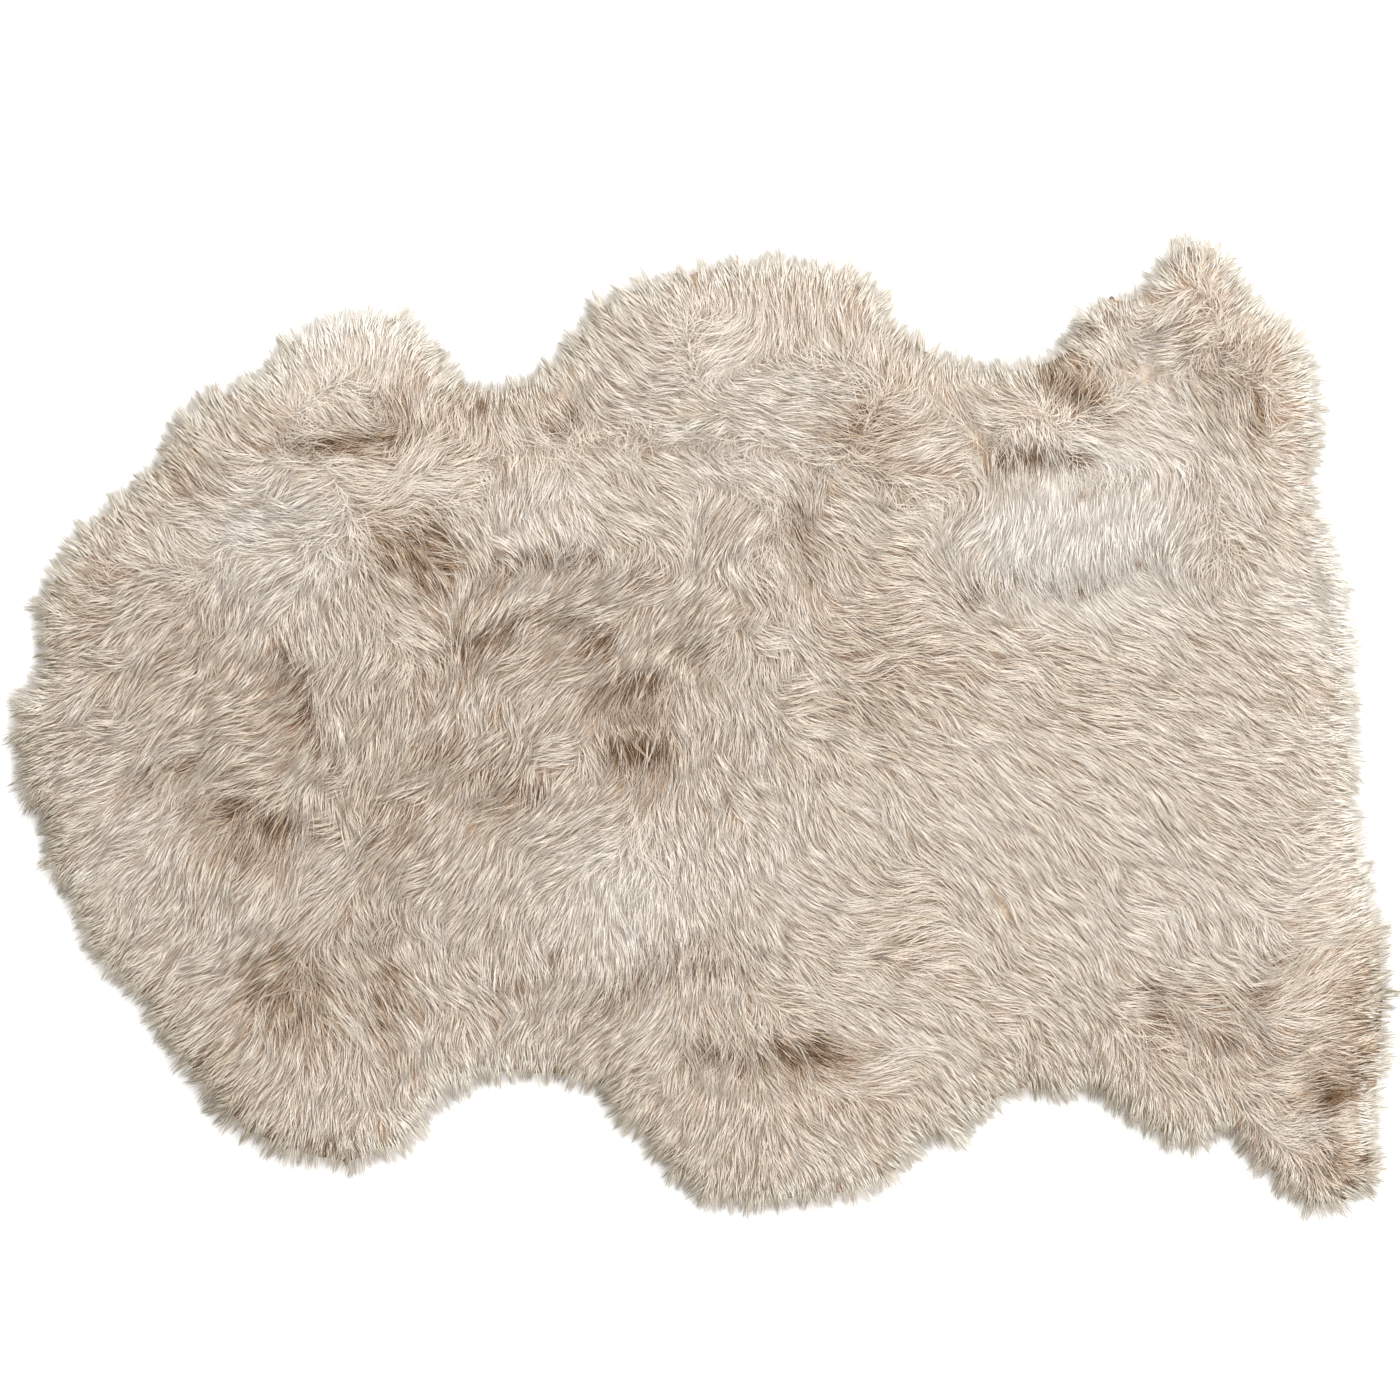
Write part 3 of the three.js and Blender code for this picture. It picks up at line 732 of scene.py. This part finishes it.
def wool_material(name, tones):
    """Undyed lamb's wool, washed and combed: pale silky tips over tan roots, with hardly any shine."""
    material, tree = new_material(name)
    place = add_node(tree, "ShaderNodeUVMap", settings={"uv_map": WOOL_MAP})
    axes = add_node(tree, "ShaderNodeSeparateXYZ", {"Vector": place.outputs["UV"]})
    ends = []
    for column in (1, 2):
        ramp = add_node(tree, "ShaderNodeValToRGB", {"Fac": axes.outputs["X"]})
        fill_ramp(ramp, tones, column)
        ends.append(ramp.outputs["Color"])
    rise = add_node(
        tree,
        "ShaderNodeMapRange",
        {"Value": axes.outputs["Y"], "From Min": 0.05, "From Max": 0.58},
        {"interpolation_type": "SMOOTHSTEP"},
    )
    colour = add_node(tree, "ShaderNodeMix", {"Factor": rise.outputs["Result"]}, {"data_type": "RGBA"})
    tree.links.new(ends[0], colour.inputs[6])
    tree.links.new(ends[1], colour.inputs[7])
    shader = add_node(
        tree,
        "ShaderNodeBsdfPrincipled",
        {
            "Base Color": colour.outputs[2],
            "Roughness": 0.62,
            "IOR": 1.5,
            "Specular IOR Level": 0.15,
        },
    )
    add_node(tree, "ShaderNodeOutputMaterial", {"Surface": shader.outputs["BSDF"]})
    return material


def undercoat_material():
    """Dense undercoat between the long locks: tan, matted and matt, with painted shade where the wool opens
    and in the gaps between strands.
    """
    material, tree = new_material("matted_undercoat")
    tone = add_node(tree, "ShaderNodeAttribute", settings={"attribute_name": "tone"})
    place = add_node(tree, "ShaderNodeTexCoord")
    grain = {"Vector": place.outputs["Object"], "Scale": 420.0, "Detail": 3.0, "Roughness": 0.6}
    fleck = add_node(tree, "ShaderNodeTexNoise", grain)
    offset = add_node(
        tree,
        "ShaderNodeMapRange",
        {"Value": fleck.outputs["Fac"], "From Min": 0.3, "From Max": 0.7, "To Min": -0.12, "To Max": 0.12},
    )
    total = add_node(tree, "ShaderNodeMath", settings={"operation": "ADD"})
    tree.links.new(tone.outputs["Fac"], total.inputs[0])
    tree.links.new(offset.outputs["Result"], total.inputs[1])
    ramp = add_node(tree, "ShaderNodeValToRGB", {"Fac": total.outputs["Value"]})
    fill_ramp(ramp, WOOL_TONES, 1)
    bump = add_node(
        tree, "ShaderNodeBump", {"Height": fleck.outputs["Fac"], "Strength": 0.5, "Distance": 0.6 * MM}
    )
    shader = add_node(
        tree,
        "ShaderNodeBsdfPrincipled",
        {"Base Color": ramp.outputs["Color"], "Roughness": 0.9, "IOR": 1.5, "Normal": bump.outputs["Normal"]},
    )
    add_node(tree, "ShaderNodeOutputMaterial", {"Surface": shader.outputs["BSDF"]})
    return material


def suede_material(colour):
    """Flesh side of a tanned lambskin: buffed suede, matt, cream with cloudy tan and a fine nap."""
    material, tree = new_material("buffed_suede")
    place = add_node(tree, "ShaderNodeTexCoord")
    cloud = add_node(
        tree, "ShaderNodeTexNoise", {"Vector": place.outputs["Object"], "Scale": 14.0, "Detail": 4.0}
    )
    nap = add_node(
        tree, "ShaderNodeTexNoise", {"Vector": place.outputs["Object"], "Scale": 900.0, "Detail": 2.0}
    )
    tint = add_node(tree, "ShaderNodeValToRGB", {"Fac": cloud.outputs["Fac"]})
    tint.color_ramp.elements[0].position = 0.32
    tint.color_ramp.elements[0].color = [0.72 * c for c in colour] + [1.0]
    tint.color_ramp.elements[1].position = 0.68
    tint.color_ramp.elements[1].color = [min(1.0, 1.18 * c) for c in colour] + [1.0]
    matt = add_node(
        tree, "ShaderNodeMapRange", {"Value": nap.outputs["Fac"], "To Min": 0.82, "To Max": 0.98}
    )
    bump = add_node(
        tree, "ShaderNodeBump", {"Height": nap.outputs["Fac"], "Strength": 0.4, "Distance": 0.3 * MM}
    )
    shader = add_node(
        tree,
        "ShaderNodeBsdfPrincipled",
        {
            "Base Color": tint.outputs["Color"],
            "Roughness": matt.outputs["Result"],
            "IOR": 1.5,
            "Sheen Weight": 0.2,
            "Normal": bump.outputs["Normal"],
        },
    )
    add_node(tree, "ShaderNodeOutputMaterial", {"Surface": shader.outputs["BSDF"]})
    return material


def plain_material(name, hex_colour, roughness):
    material, tree = new_material(name)
    finish = {"Base Color": linear(hex_colour), "Roughness": roughness}
    shader = add_node(tree, "ShaderNodeBsdfPrincipled", finish)
    add_node(tree, "ShaderNodeOutputMaterial", {"Surface": shader.outputs["BSDF"]})
    return material


def shaken_lattice(rng, pitch, low, high):
    """Places on a triangular lattice over a rectangle, each moved a little."""
    rows = np.arange(low[1], high[1], pitch * math.sqrt(3) / 2)
    columns = np.arange(low[0], high[0], pitch)
    x, y = np.meshgrid(columns, rows)
    x = x + np.where(np.arange(len(rows)) % 2, pitch / 2, 0)[:, None]
    x = x.ravel() + rng.uniform(-0.32, 0.32, x.size) * pitch
    y = y.ravel() + rng.uniform(-0.32, 0.32, y.size) * pitch
    return x, y


def lock_centres(fields, rng, pitch, least_inset, most_inset=1.0):
    """Places of the locks, so far in from the rim."""
    x, y = shaken_lattice(rng, pitch, CAD_BOX[0], CAD_BOX[1])
    inset = fields.inset_at(x, y)
    kept = (inset > least_inset) & (inset < most_inset)
    return x[kept], y[kept]


class Kind(NamedTuple):
    """How the strands of one kind of wool are laid"""

    per_lock: int
    length: float  # share of the lock length
    root_depth: float  # how far under the surface they start
    gather: float  # how far the strands of a lock draw together at its tip
    lift: float  # how far they arch over the surface
    past: tuple  # how far the locks reach past the rim, least and most
    uneven: float  # how much the strands of a lock differ in length


LONG_WOOL = Kind(12, 1.0, 7 * MM, gather=0.12, lift=0.5 * MM, past=(-2 * MM, 5 * MM), uneven=0.16)
SHORT_WOOL = Kind(13, 0.5, 4 * MM, gather=0.05, lift=0.8 * MM, past=(-2 * MM, 5 * MM), uneven=0.16)
RIM_WOOL = Kind(16, 0.66, 9 * MM, gather=0.85, lift=0.5 * MM, past=(3 * MM, 10 * MM), uneven=0.05)


# Lumps of noise that neighbouring locks share in their turn, length and tone
TURN_LUMPS, LENGTH_LUMPS, TONE_LUMPS = 22 * MM, 34 * MM, 11 * MM
SHARED_TURN, OWN_TURN = 0.18, 0.07  # how much locks turn with their neighbours and alone, in radians
SHARED_LENGTH, OWN_LENGTHS = 0.18, (0.82, 1.18)  # the same for their length, as shares of it
OWN_LOCK_TONE = 0.35

LOCK_SPREAD = 0.68  # how far the bends of a lock stand from its middle, in lock pitches
STRAY, WHORL_STRAY = 0.08, 0.30  # how much single strands turn, and how much more in a whorl, in radians
BEND_AT = 0.48  # where a strand bends, as a share of its length
AHEAD = 0.25  # how far past the bend its second half reads the lay, as a share of its length
ROOT_INSET = 7 * MM  # how far in from the rim the roots stand
STOPPED_BY = (0.30, 1.2)  # how open a parting must be to end a strand, least and most
STOPS = (1.0, 0.92, 0.85, 0.77, 0.7, 0.62, 0.55, 0.47, 0.4)  # shares of a strand at which it may end so
ROOTED_OPEN, SHORTENED = 0.35, 0.7  # strands rooted where the wool is more open than this are shorter
BEND_SINKS, TIP_SINKS = 2.5 * MM, 2 * MM  # how much lower strands lie where the wool is open
ROOT_FLOOR, TIP_FLOOR = 2.6 * MM, 1.0 * MM  # least height over the floor
THINNED = 0.35  # how many strands are left out where the wool is open
# Painted shade: deeper strands are tanner, and the topmost paler, for the gaps between strands.
DEPTH_PAINTED_SHADE = 0.14  # how much tanner the deepest strands are than the topmost


def turned(dx, dy, angle):
    """A direction turned by an angle."""
    return dx * np.cos(angle) - dy * np.sin(angle), dx * np.sin(angle) + dy * np.cos(angle)


def drawn_in(x, y, to_x, to_y, share):
    """Places drawn towards others, to a share of their distance."""
    return to_x + (x - to_x) * share, to_y + (y - to_y) * share


def stacked(*stations):
    """The places of strands, one after the other along each."""
    return np.stack([np.stack(station, axis=1) for station in stations], axis=1)


def lay_strands(fields, rng, sizes, centre_x, centre_y, kind):
    """Roots, bends and tips of the strands of the given locks, with each strand's tone."""
    turn_drift, long_drift = Drift(rng, TURN_LUMPS), Drift(rng, LENGTH_LUMPS)
    tone_drift = Drift(rng, TONE_LUMPS)
    lock_count = len(centre_x)
    turn = SHARED_TURN * turn_drift.at(centre_x, centre_y) + rng.normal(0, OWN_TURN, lock_count)
    past = rng.uniform(*kind.past, lock_count)
    longer = 1 + SHARED_LENGTH * long_drift.at(centre_x, centre_y)
    lock_length = sizes.lock_length * kind.length * longer * rng.uniform(*OWN_LENGTHS, lock_count)
    lock_tone = tone_drift.at(centre_x, centre_y) + rng.normal(0, OWN_LOCK_TONE, lock_count)

    owner = np.repeat(np.arange(lock_count), kind.per_lock)
    count = len(owner)
    spread = LOCK_SPREAD * sizes.lock_pitch * np.sqrt(rng.uniform(0, 1, count))
    around = rng.uniform(0, 2 * math.pi, count)
    bend_x = centre_x[owner] + spread * np.cos(around)
    bend_y = centre_y[owner] + spread * np.sin(around)

    inner = rising(fields.inset_at(bend_x, bend_y), 15 * MM, 20 * MM)
    stray = STRAY + WHORL_STRAY * inner * fields.read(fields.whorl, bend_x, bend_y) ** 2
    angle = turn[owner] + inner * fields.turn_at(bend_x, bend_y) + stray * rng.normal(0, 1, count)
    first_x, first_y = turned(*fields.lay_at(bend_x, bend_y), angle)
    length = lock_length[owner] * (0.96 + rng.uniform(-kind.uneven, kind.uneven, count))
    root_x, root_y = bend_x - BEND_AT * length * first_x, bend_y - BEND_AT * length * first_y
    for _ in range(8):
        back = np.where(fields.inset_at(root_x, root_y) < ROOT_INSET, 0.8, 1.0)
        root_x, root_y = drawn_in(root_x, root_y, bend_x, bend_y, back)
    ahead_x, ahead_y = bend_x + AHEAD * length * first_x, bend_y + AHEAD * length * first_y
    second_x, second_y = turned(*fields.lay_at(ahead_x, ahead_y), angle * 1.3 + rng.normal(0, 0.10, count))
    rest = (1 - BEND_AT) * length
    tip_x, tip_y = bend_x + rest * second_x, bend_y + rest * second_y

    # The strands of a lock draw together towards its tip
    tip_x, tip_y = drawn_together(owner, tip_x, tip_y, second_x, second_y, kind.gather)
    bend_x, bend_y = drawn_together(owner, bend_x, bend_y, first_x, first_y, 0.4 * kind.gather)

    # A strand that would lie across a parting mostly ends at it
    opened = fields.parting_at(root_x, root_y)
    stopped_by = rng.uniform(*STOPPED_BY, count)
    reach = np.where(opened > ROOTED_OPEN, SHORTENED, 1.0)
    for share in STOPS:
        across = fields.parting_at(*drawn_in(tip_x, tip_y, root_x, root_y, share))
        reach = np.where((across > stopped_by) & (opened < stopped_by), share, reach)
    tip_x, tip_y = drawn_in(tip_x, tip_y, root_x, root_y, reach)
    bend_x, bend_y = drawn_in(bend_x, bend_y, root_x, root_y, reach)

    # Strands that would reach past the rim are shorter there
    past = past[owner] + rng.uniform(-6, 6, count) * kind.uneven * MM
    for _ in range(9):
        shrink = np.where(fields.inset_at(tip_x, tip_y) < -past, 0.88, 1.0)
        tip_x, tip_y = drawn_in(tip_x, tip_y, root_x, root_y, shrink)
        bend_x, bend_y = drawn_in(bend_x, bend_y, root_x, root_y, shrink)

    layer = rng.uniform(0, 1, count)  # from the deepest strands at 0 to the topmost at 1
    root_z = np.maximum(fields.height_at(root_x, root_y) - kind.root_depth, ROOT_FLOOR)
    bend_z = bend_heights(fields, kind, layer, bend_x, bend_y, opened)
    tip_z = tip_heights(fields, kind, layer, tip_x, tip_y)
    mixed = fields.mixed_at(root_x, root_y)
    own_tone = (0.02 + 0.22 * mixed) * lock_tone[owner] + (0.08 + 0.38 * mixed) * rng.normal(0, 1, count)
    # Painted shade by depth: deeper strands tanner, topmost paler
    own_tone = own_tone + DEPTH_PAINTED_SHADE * (layer - 0.6)
    stations = ((root_x, root_y, root_z), (bend_x, bend_y, bend_z), (tip_x, tip_y, tip_z))
    tone = np.stack([shaded_tone(fields, sizes, x, y) + own_tone for x, y, _ in stations], axis=1)
    kept = rng.uniform(0, 1, count) > THINNED * opened
    return stacked(*stations)[kept], tone[kept]


def bend_heights(fields, kind, layer, x, y, opened):
    """Heights of the bends, where deeper strands lie lower towards the rim."""
    height = fields.height_at(x, y)
    z = height + 2 * (layer - 0.3) * kind.lift - BEND_SINKS * opened
    near_rim = fading(fields.inset_at(x, y), 14 * MM)
    return z - near_rim * (1 - layer) * 0.7 * np.maximum(height - 4 * MM, 0)


def tip_heights(fields, kind, layer, x, y):
    """Heights of the tips, which are spread over the full height of the wool at the rim."""
    height = fields.height_at(x, y)
    z = height + 2 * (layer - 0.5) * kind.lift - TIP_SINKS * fields.parting_at(x, y)
    near_rim = fading(fields.inset_at(x, y), 9 * MM)
    rim_z = 1.4 * MM + layer * np.maximum(height, 3 * MM)
    return np.maximum(z * (1 - near_rim) + rim_z * near_rim, TIP_FLOOR)


def drawn_together(owner, x, y, along_x, along_y, share):
    """Places moved across their lock, towards the middle of its places."""
    number = np.bincount(owner)
    middle_x, middle_y = np.bincount(owner, x) / number, np.bincount(owner, y) / number
    across = (y - middle_y[owner]) * along_x - (x - middle_x[owner]) * along_y
    return x + share * across * along_y, y - share * across * along_x


def shaded_tone(fields, sizes, x, y):
    """How pale the wool is at a place, with painted shade in a parting."""
    return fields.tone_at(x, y, sizes.base_tone) - 0.14 * fields.parting_at(x, y)


def parting_strands(fields, rng, pitch=1.4 * MM):
    """Short brown wool where the pale wool opens: darker roots, and painted shade in the parting."""
    x, y = shaken_lattice(rng, pitch, CAD_BOX[0], CAD_BOX[1])
    opened = fields.parting_at(x, y)
    kept = (rng.uniform(0, 1, len(x)) < opened**1.3) & (fields.inset_at(x, y) > 10 * MM)
    x, y, opened = x[kept], y[kept], opened[kept]
    count = len(x)
    lay_x, lay_y = fields.lay_at(x, y)
    angle = np.arctan2(lay_y, lay_x) + rng.normal(0, 0.35, count)
    length = rng.uniform(4, 12, count) * MM
    tip_x, tip_y = x + length * np.cos(angle), y + length * np.sin(angle)
    root_z = np.maximum(fields.height_at(x, y) - 1.5 * MM, ROOT_FLOOR)
    tip_z = np.maximum(fields.height_at(tip_x, tip_y) + rng.uniform(0.4, 2.2, count) * MM, TIP_FLOOR)
    tone = 0.20 - 0.20 * opened + rng.normal(0, 0.12, count)
    return stacked((x, y, root_z), (tip_x, tip_y, tip_z)), np.stack([tone - 0.05, tone + 0.05], axis=1)


MAP_HALF_WIDTH = 0.005  # half the width of a strand on the colour map


class Form(NamedTuple):
    """The corners of a strand and the triangles between them"""

    stations: tuple  # the place along the strand that each corner is at
    sides: tuple  # the side that each corner is moved to, None for a point
    triangles: tuple
    on_map: tuple  # the height of each place on the colour map


# A spindle with a ring of three corners at its bend, and a straight thorn with that ring at its root, which
# starts nearer the surface
SPINDLE = Form(
    stations=(0, 1, 1, 1, 2),
    sides=(None, 0, 1, 2, None),
    triangles=((2, 1, 0), (3, 2, 0), (1, 3, 0), (1, 2, 4), (2, 3, 4), (3, 1, 4)),
    on_map=(0.02, 0.52, 0.98),
)
THORN = Form(
    stations=(0, 0, 0, 1),
    sides=(0, 1, 2, None),
    triangles=((0, 2, 1), (0, 1, 3), (1, 2, 3), (2, 0, 3)),
    on_map=(0.20, 0.98),
)


def strand_mesh(name, points, tone, width, form):
    """One mesh of closed strands of one form, each corner with its place on the colour map."""
    stations, sides = form.stations, form.sides
    count = len(points)
    corners_each = len(stations)
    run = points[:, -1] - points[:, 0]
    run[:, 2] = 0
    run /= np.maximum(np.linalg.norm(run, axis=1, keepdims=True), 1e-9)
    left = np.stack([-run[:, 1], run[:, 0], np.zeros(count)], axis=1)
    up = np.array([0.0, 0.0, 1.0])
    radius = 0.5 * width[:, None]
    vertices = points[:, stations].copy()
    for corner, side in enumerate(sides):
        if side is not None:
            angle = math.radians(90 + 120 * side)
            vertices[:, corner] += radius * (math.cos(angle) * left + 0.8 * math.sin(angle) * up)
    first = corners_each * np.arange(count)
    triangles = (np.array(form.triangles)[None] + first[:, None, None]).reshape(-1, 3)

    mesh = bpy.data.meshes.new(name)
    mesh.vertices.add(count * corners_each)
    mesh.vertices.foreach_set("co", vertices.ravel())
    mesh.loops.add(triangles.size)
    mesh.loops.foreach_set("vertex_index", triangles.ravel().astype(np.int32))
    mesh.polygons.add(len(triangles))
    mesh.polygons.foreach_set("loop_start", np.arange(0, triangles.size, 3, dtype=np.int32))

    across = np.array([0 if side is None else side - 1 for side in sides]) * MAP_HALF_WIDTH
    along = np.array(form.on_map)[list(stations)]
    along[1] += 0.012  # so that a closed root end has some room on the map
    map_x = np.clip(0.01 + 0.98 * np.clip(tone, 0, 1)[:, stations] + across, 0.001, 0.999)
    map_y = np.broadcast_to(along, map_x.shape)
    places = np.stack([map_x, map_y], axis=2).reshape(-1, 2)
    layer = mesh.uv_layers.new(name=WOOL_MAP)
    layer.uv.foreach_set("vector", places[triangles.ravel()].astype(np.float32).ravel())
    mesh.update(calc_edges=True)
    mesh.validate()
    obj = bpy.data.objects.new(name, mesh)
    bpy.context.collection.objects.link(obj)
    return obj


def add_pieces(names, points, tone, width, form, material):
    """Shares strands out over some pieces, from left to right."""
    order = np.argsort(points[:, 0, 0], kind="stable")
    for name, part in zip(names, np.array_split(order, len(names))):
        finish_piece(strand_mesh(name, points[part], tone[part], width[part], form), material)


FIELDS = []  # the fields are worked out once and shared by the operators


def shared_fields():
    if not FIELDS:
        FIELDS.append(Fields(bpy.context.scene.lambskin_wool))
    return FIELDS[0]


class AddHide(bpy.types.Operator):
    """Adds the tanned skin that lies on the floor, wool side up"""

    bl_idname = "lambskin.add_hide"
    bl_label = "Add tanned skin"

    def execute(self, context):
        sizes = context.scene.lambskin_skin
        hide = copy_of_solid("hide")
        mesh = bmesh.new()
        mesh.from_mesh(hide.data)
        upper = [face for face in mesh.faces if max(v.co.z for v in face.verts) > 0.01 * MM]
        bmesh.ops.delete(mesh, geom=upper, context="FACES")
        if not mesh.faces:
            raise RuntimeError("the packed solid has no flat underside")
        bmesh.ops.dissolve_limit(mesh, angle_limit=math.radians(1), verts=mesh.verts, edges=mesh.edges)
        bmesh.ops.triangulate(mesh, faces=mesh.faces)
        for _ in range(3):
            long_edges = [edge for edge in mesh.edges if edge.calc_length() > 40 * MM]
            bmesh.ops.subdivide_edges(mesh, edges=long_edges, cuts=1)
            bmesh.ops.triangulate(mesh, faces=mesh.faces)
            bmesh.ops.beautify_fill(mesh, faces=mesh.faces, edges=mesh.edges)
        mesh.to_mesh(hide.data)
        mesh.free()
        area = sum(face.area for face in hide.data.polygons)
        places = vertex_places(hide)
        width, length = np.ptp(places[:, 1]), np.ptp(places[:, 0])
        apply_modifier(hide, "SOLIDIFY", thickness=sizes.thickness, offset=-1.0)
        finish_piece(hide, suede_material(tuple(sizes.suede)), replaces=True)
        context.scene["hide_area"] = area
        context.scene["hide_width"] = float(width)
        context.scene["hide_length"] = float(length)
        return {"FINISHED"}


class AddUndercoat(bpy.types.Operator):
    """Adds the dense wool between the skin and the long locks"""

    bl_idname = "lambskin.add_undercoat"
    bl_label = "Add undercoat"

    def execute(self, context):
        sizes = context.scene.lambskin_skin
        undercoat = copy_of_solid("undercoat")
        apply_modifier(undercoat, "REMESH", mode="VOXEL", voxel_size=sizes.voxel)
        apply_modifier(undercoat, "SMOOTH", factor=0.5, iterations=4)
        apply_modifier(undercoat, "DISPLACE", strength=-sizes.sunk, mid_level=0.0)
        places = vertex_places(undercoat)
        if not len(places):
            raise RuntimeError("the undercoat came out empty")
        normals = np.empty(places.size)
        undercoat.data.vertices.foreach_get("normal", normals)
        slope = normals.reshape(-1, 3)[:, 2]
        foot = sizes.thickness + 0.3 * MM
        fields = shared_fields()
        x, y = places[:, 0], places[:, 1]
        crown = (slope > 0.4) & (fields.inset_at(x, y) > 14 * MM)
        places[:, 2] = np.where(crown, fields.height_at(x, y) - sizes.sunk, places[:, 2])
        places[:, 2] = np.where(slope < -0.4, foot, np.maximum(places[:, 2], foot))
        undercoat.data.vertices.foreach_set("co", places.ravel())
        undercoat.data.update()
        # The undercoat's tone: its own tan, darkened all over as painted shade for the gaps between strands,
        # and more in the partings
        tone = shaded_tone(fields, context.scene.lambskin_wool, x, y) - 0.35 * fields.parting_at(x, y)
        layer = undercoat.data.attributes.new("tone", "FLOAT", "POINT")
        layer.data.foreach_set("value", np.clip(tone - 0.15, 0, 1).astype(np.float32))
        finish_piece(undercoat, undercoat_material(), replaces=True)
        return {"FINISHED"}


class AddWool(bpy.types.Operator):
    """Adds the long wool, in locks that lie over each other"""

    bl_idname = "lambskin.add_wool"
    bl_label = "Add long wool"

    LONG = ("wool_left_end", "wool_left_flanks", "wool_middle", "wool_right_flanks", "wool_right_end")
    SHORT = ("short_wool_left", "short_wool_right")

    def execute(self, context):
        sizes = context.scene.lambskin_wool
        rng = np.random.default_rng(11)
        fields = shared_fields()
        material = wool_material("combed_undyed_wool", WOOL_TONES)
        centre_x, centre_y = lock_centres(fields, rng, sizes.lock_pitch, 8 * MM)
        points, tone = lay_strands(fields, rng, sizes, centre_x, centre_y, LONG_WOOL)
        width = sizes.strand_width * rng.uniform(0.7, 1.25, len(points))
        add_pieces(self.LONG, points, tone, width, SPINDLE, material)

        over, over_tone = lay_strands(fields, rng, sizes, centre_x, centre_y, SHORT_WOOL)
        brown, brown_tone = parting_strands(fields, rng)
        short = np.concatenate([over[:, ::2], brown])
        short_tone = np.concatenate([over_tone[:, ::2], brown_tone])
        width = 0.85 * sizes.strand_width * rng.uniform(0.7, 1.2, len(short))
        add_pieces(self.SHORT, short, short_tone, width, THORN, material)
        return {"FINISHED"}


class AddRim(bpy.types.Operator):
    """Adds the finer wool that feathers the rim"""

    bl_idname = "lambskin.add_rim"
    bl_label = "Add rim wool"

    def execute(self, context):
        sizes = context.scene.lambskin_wool
        rng = np.random.default_rng(23)
        fields = shared_fields()
        x, y = lock_centres(fields, rng, 6.5 * MM, 3 * MM, 13 * MM)
        points, tone = lay_strands(fields, rng, sizes, x, y, RIM_WOOL)
        # Painted shade: the rim's tips are darker, and its bends a little, most where the rim faces away from
        # the key light
        shaded = fields.turned_away(points[:, 2, 0], points[:, 2, 1])
        tone[:, 2] -= 0.06 + 0.30 * shaded
        tone[:, 1] -= 0.10 * shaded
        width = sizes.strand_width * rng.uniform(1.15, 1.75, len(points))
        # The rim's greyer tones are painted shade.
        add_pieces(("wool_rim",), points, tone, width, SPINDLE, wool_material("rim_wool", RIM_PAINTED_SHADE_TONES))
        return {"FINISHED"}


class DeclareSkin(bpy.types.Operator):
    bl_idname = "lambskin.declare_skin"
    bl_label = "Declare skin"

    def execute(self, context):
        return {"FINISHED"}


class SetStage(bpy.types.Operator):
    """Adds the floor, the light and the camera straight above the skin"""

    bl_idname = "lambskin.set_stage"
    bl_label = "Set stage"

    def execute(self, context):
        sizes = context.scene.lambskin_stage
        bpy.ops.object.select_all(action="DESELECT")
        bpy.ops.mesh.primitive_plane_add(size=sizes.floor_width, location=(0, 0, 0))
        floor = context.object
        floor.name = "floor"
        floor.data.materials.append(plain_material("matt_white_floor", "#F7F7F6", 0.9))

        centre_x, centre_y = from_photo(PHOTO_FRAME / 2, PHOTO_FRAME / 2)
        camera = bpy.data.cameras.new("camera")
        camera.sensor_width = 36.0
        camera.lens = camera.sensor_width * sizes.camera_height / (PHOTO_FRAME * PIXEL)
        camera_object = bpy.data.objects.new("camera", camera)
        camera_object.location = (centre_x, centre_y, sizes.camera_height)
        context.collection.objects.link(camera_object)
        context.scene.camera = camera_object

        for name, place, width, power in LIGHTS:
            light = bpy.data.lights.new(name, "AREA")
            light.shape = "DISK"
            light.size = width
            light.energy = getattr(sizes, power)
            lamp = bpy.data.objects.new(name, light)
            lamp.location = place
            aim = -lamp.location
            lamp.rotation_euler = aim.to_track_quat("-Z", "Y").to_euler()
            lamp.visible_camera = False
            context.collection.objects.link(lamp)

        world = bpy.data.worlds.new("studio")
        world.use_nodes = True
        background = world.node_tree.nodes["Background"]
        background.inputs["Color"].default_value = linear("#FFFCF8")
        background.inputs["Strength"].default_value = sizes.ambient
        context.scene.world = world
        context.scene.view_settings.view_transform = "Standard"
        return {"FINISHED"}


OPERATORS = (AddHide, AddUndercoat, AddWool, AddRim, DeclareSkin, SetStage)
GROUPS = (("lambskin_wool", WoolSizes), ("lambskin_skin", SkinSizes), ("lambskin_stage", StageSizes))


class LambskinPanel(bpy.types.Panel):
    """Sizes and steps of the lambskin"""

    bl_idname = "VIEW3D_PT_lambskin"
    bl_label = "Lambskin"
    bl_space_type = "VIEW_3D"
    bl_region_type = "UI"
    bl_category = "Lambskin"

    def draw(self, context):
        for name, group in GROUPS:
            box = self.layout.box()
            for prop in group.__annotations__:
                box.prop(getattr(context.scene, name), prop)
        for operator in OPERATORS:
            self.layout.operator(operator.bl_idname)


def register():
    for cls in (*(group for _, group in GROUPS), *OPERATORS, LambskinPanel):
        bpy.utils.register_class(cls)
    for name, group in GROUPS:
        setattr(bpy.types.Scene, name, bpy.props.PointerProperty(type=group))


def unregister():
    for name, _ in GROUPS:
        delattr(bpy.types.Scene, name)
    for cls in reversed((*(group for _, group in GROUPS), *OPERATORS, LambskinPanel)):
        bpy.utils.unregister_class(cls)


def main():
    register()
    for operator in OPERATORS:
        family, name = operator.bl_idname.split(".")
        getattr(getattr(bpy.ops, family), name)()


if __name__ == "__main__":
    main()
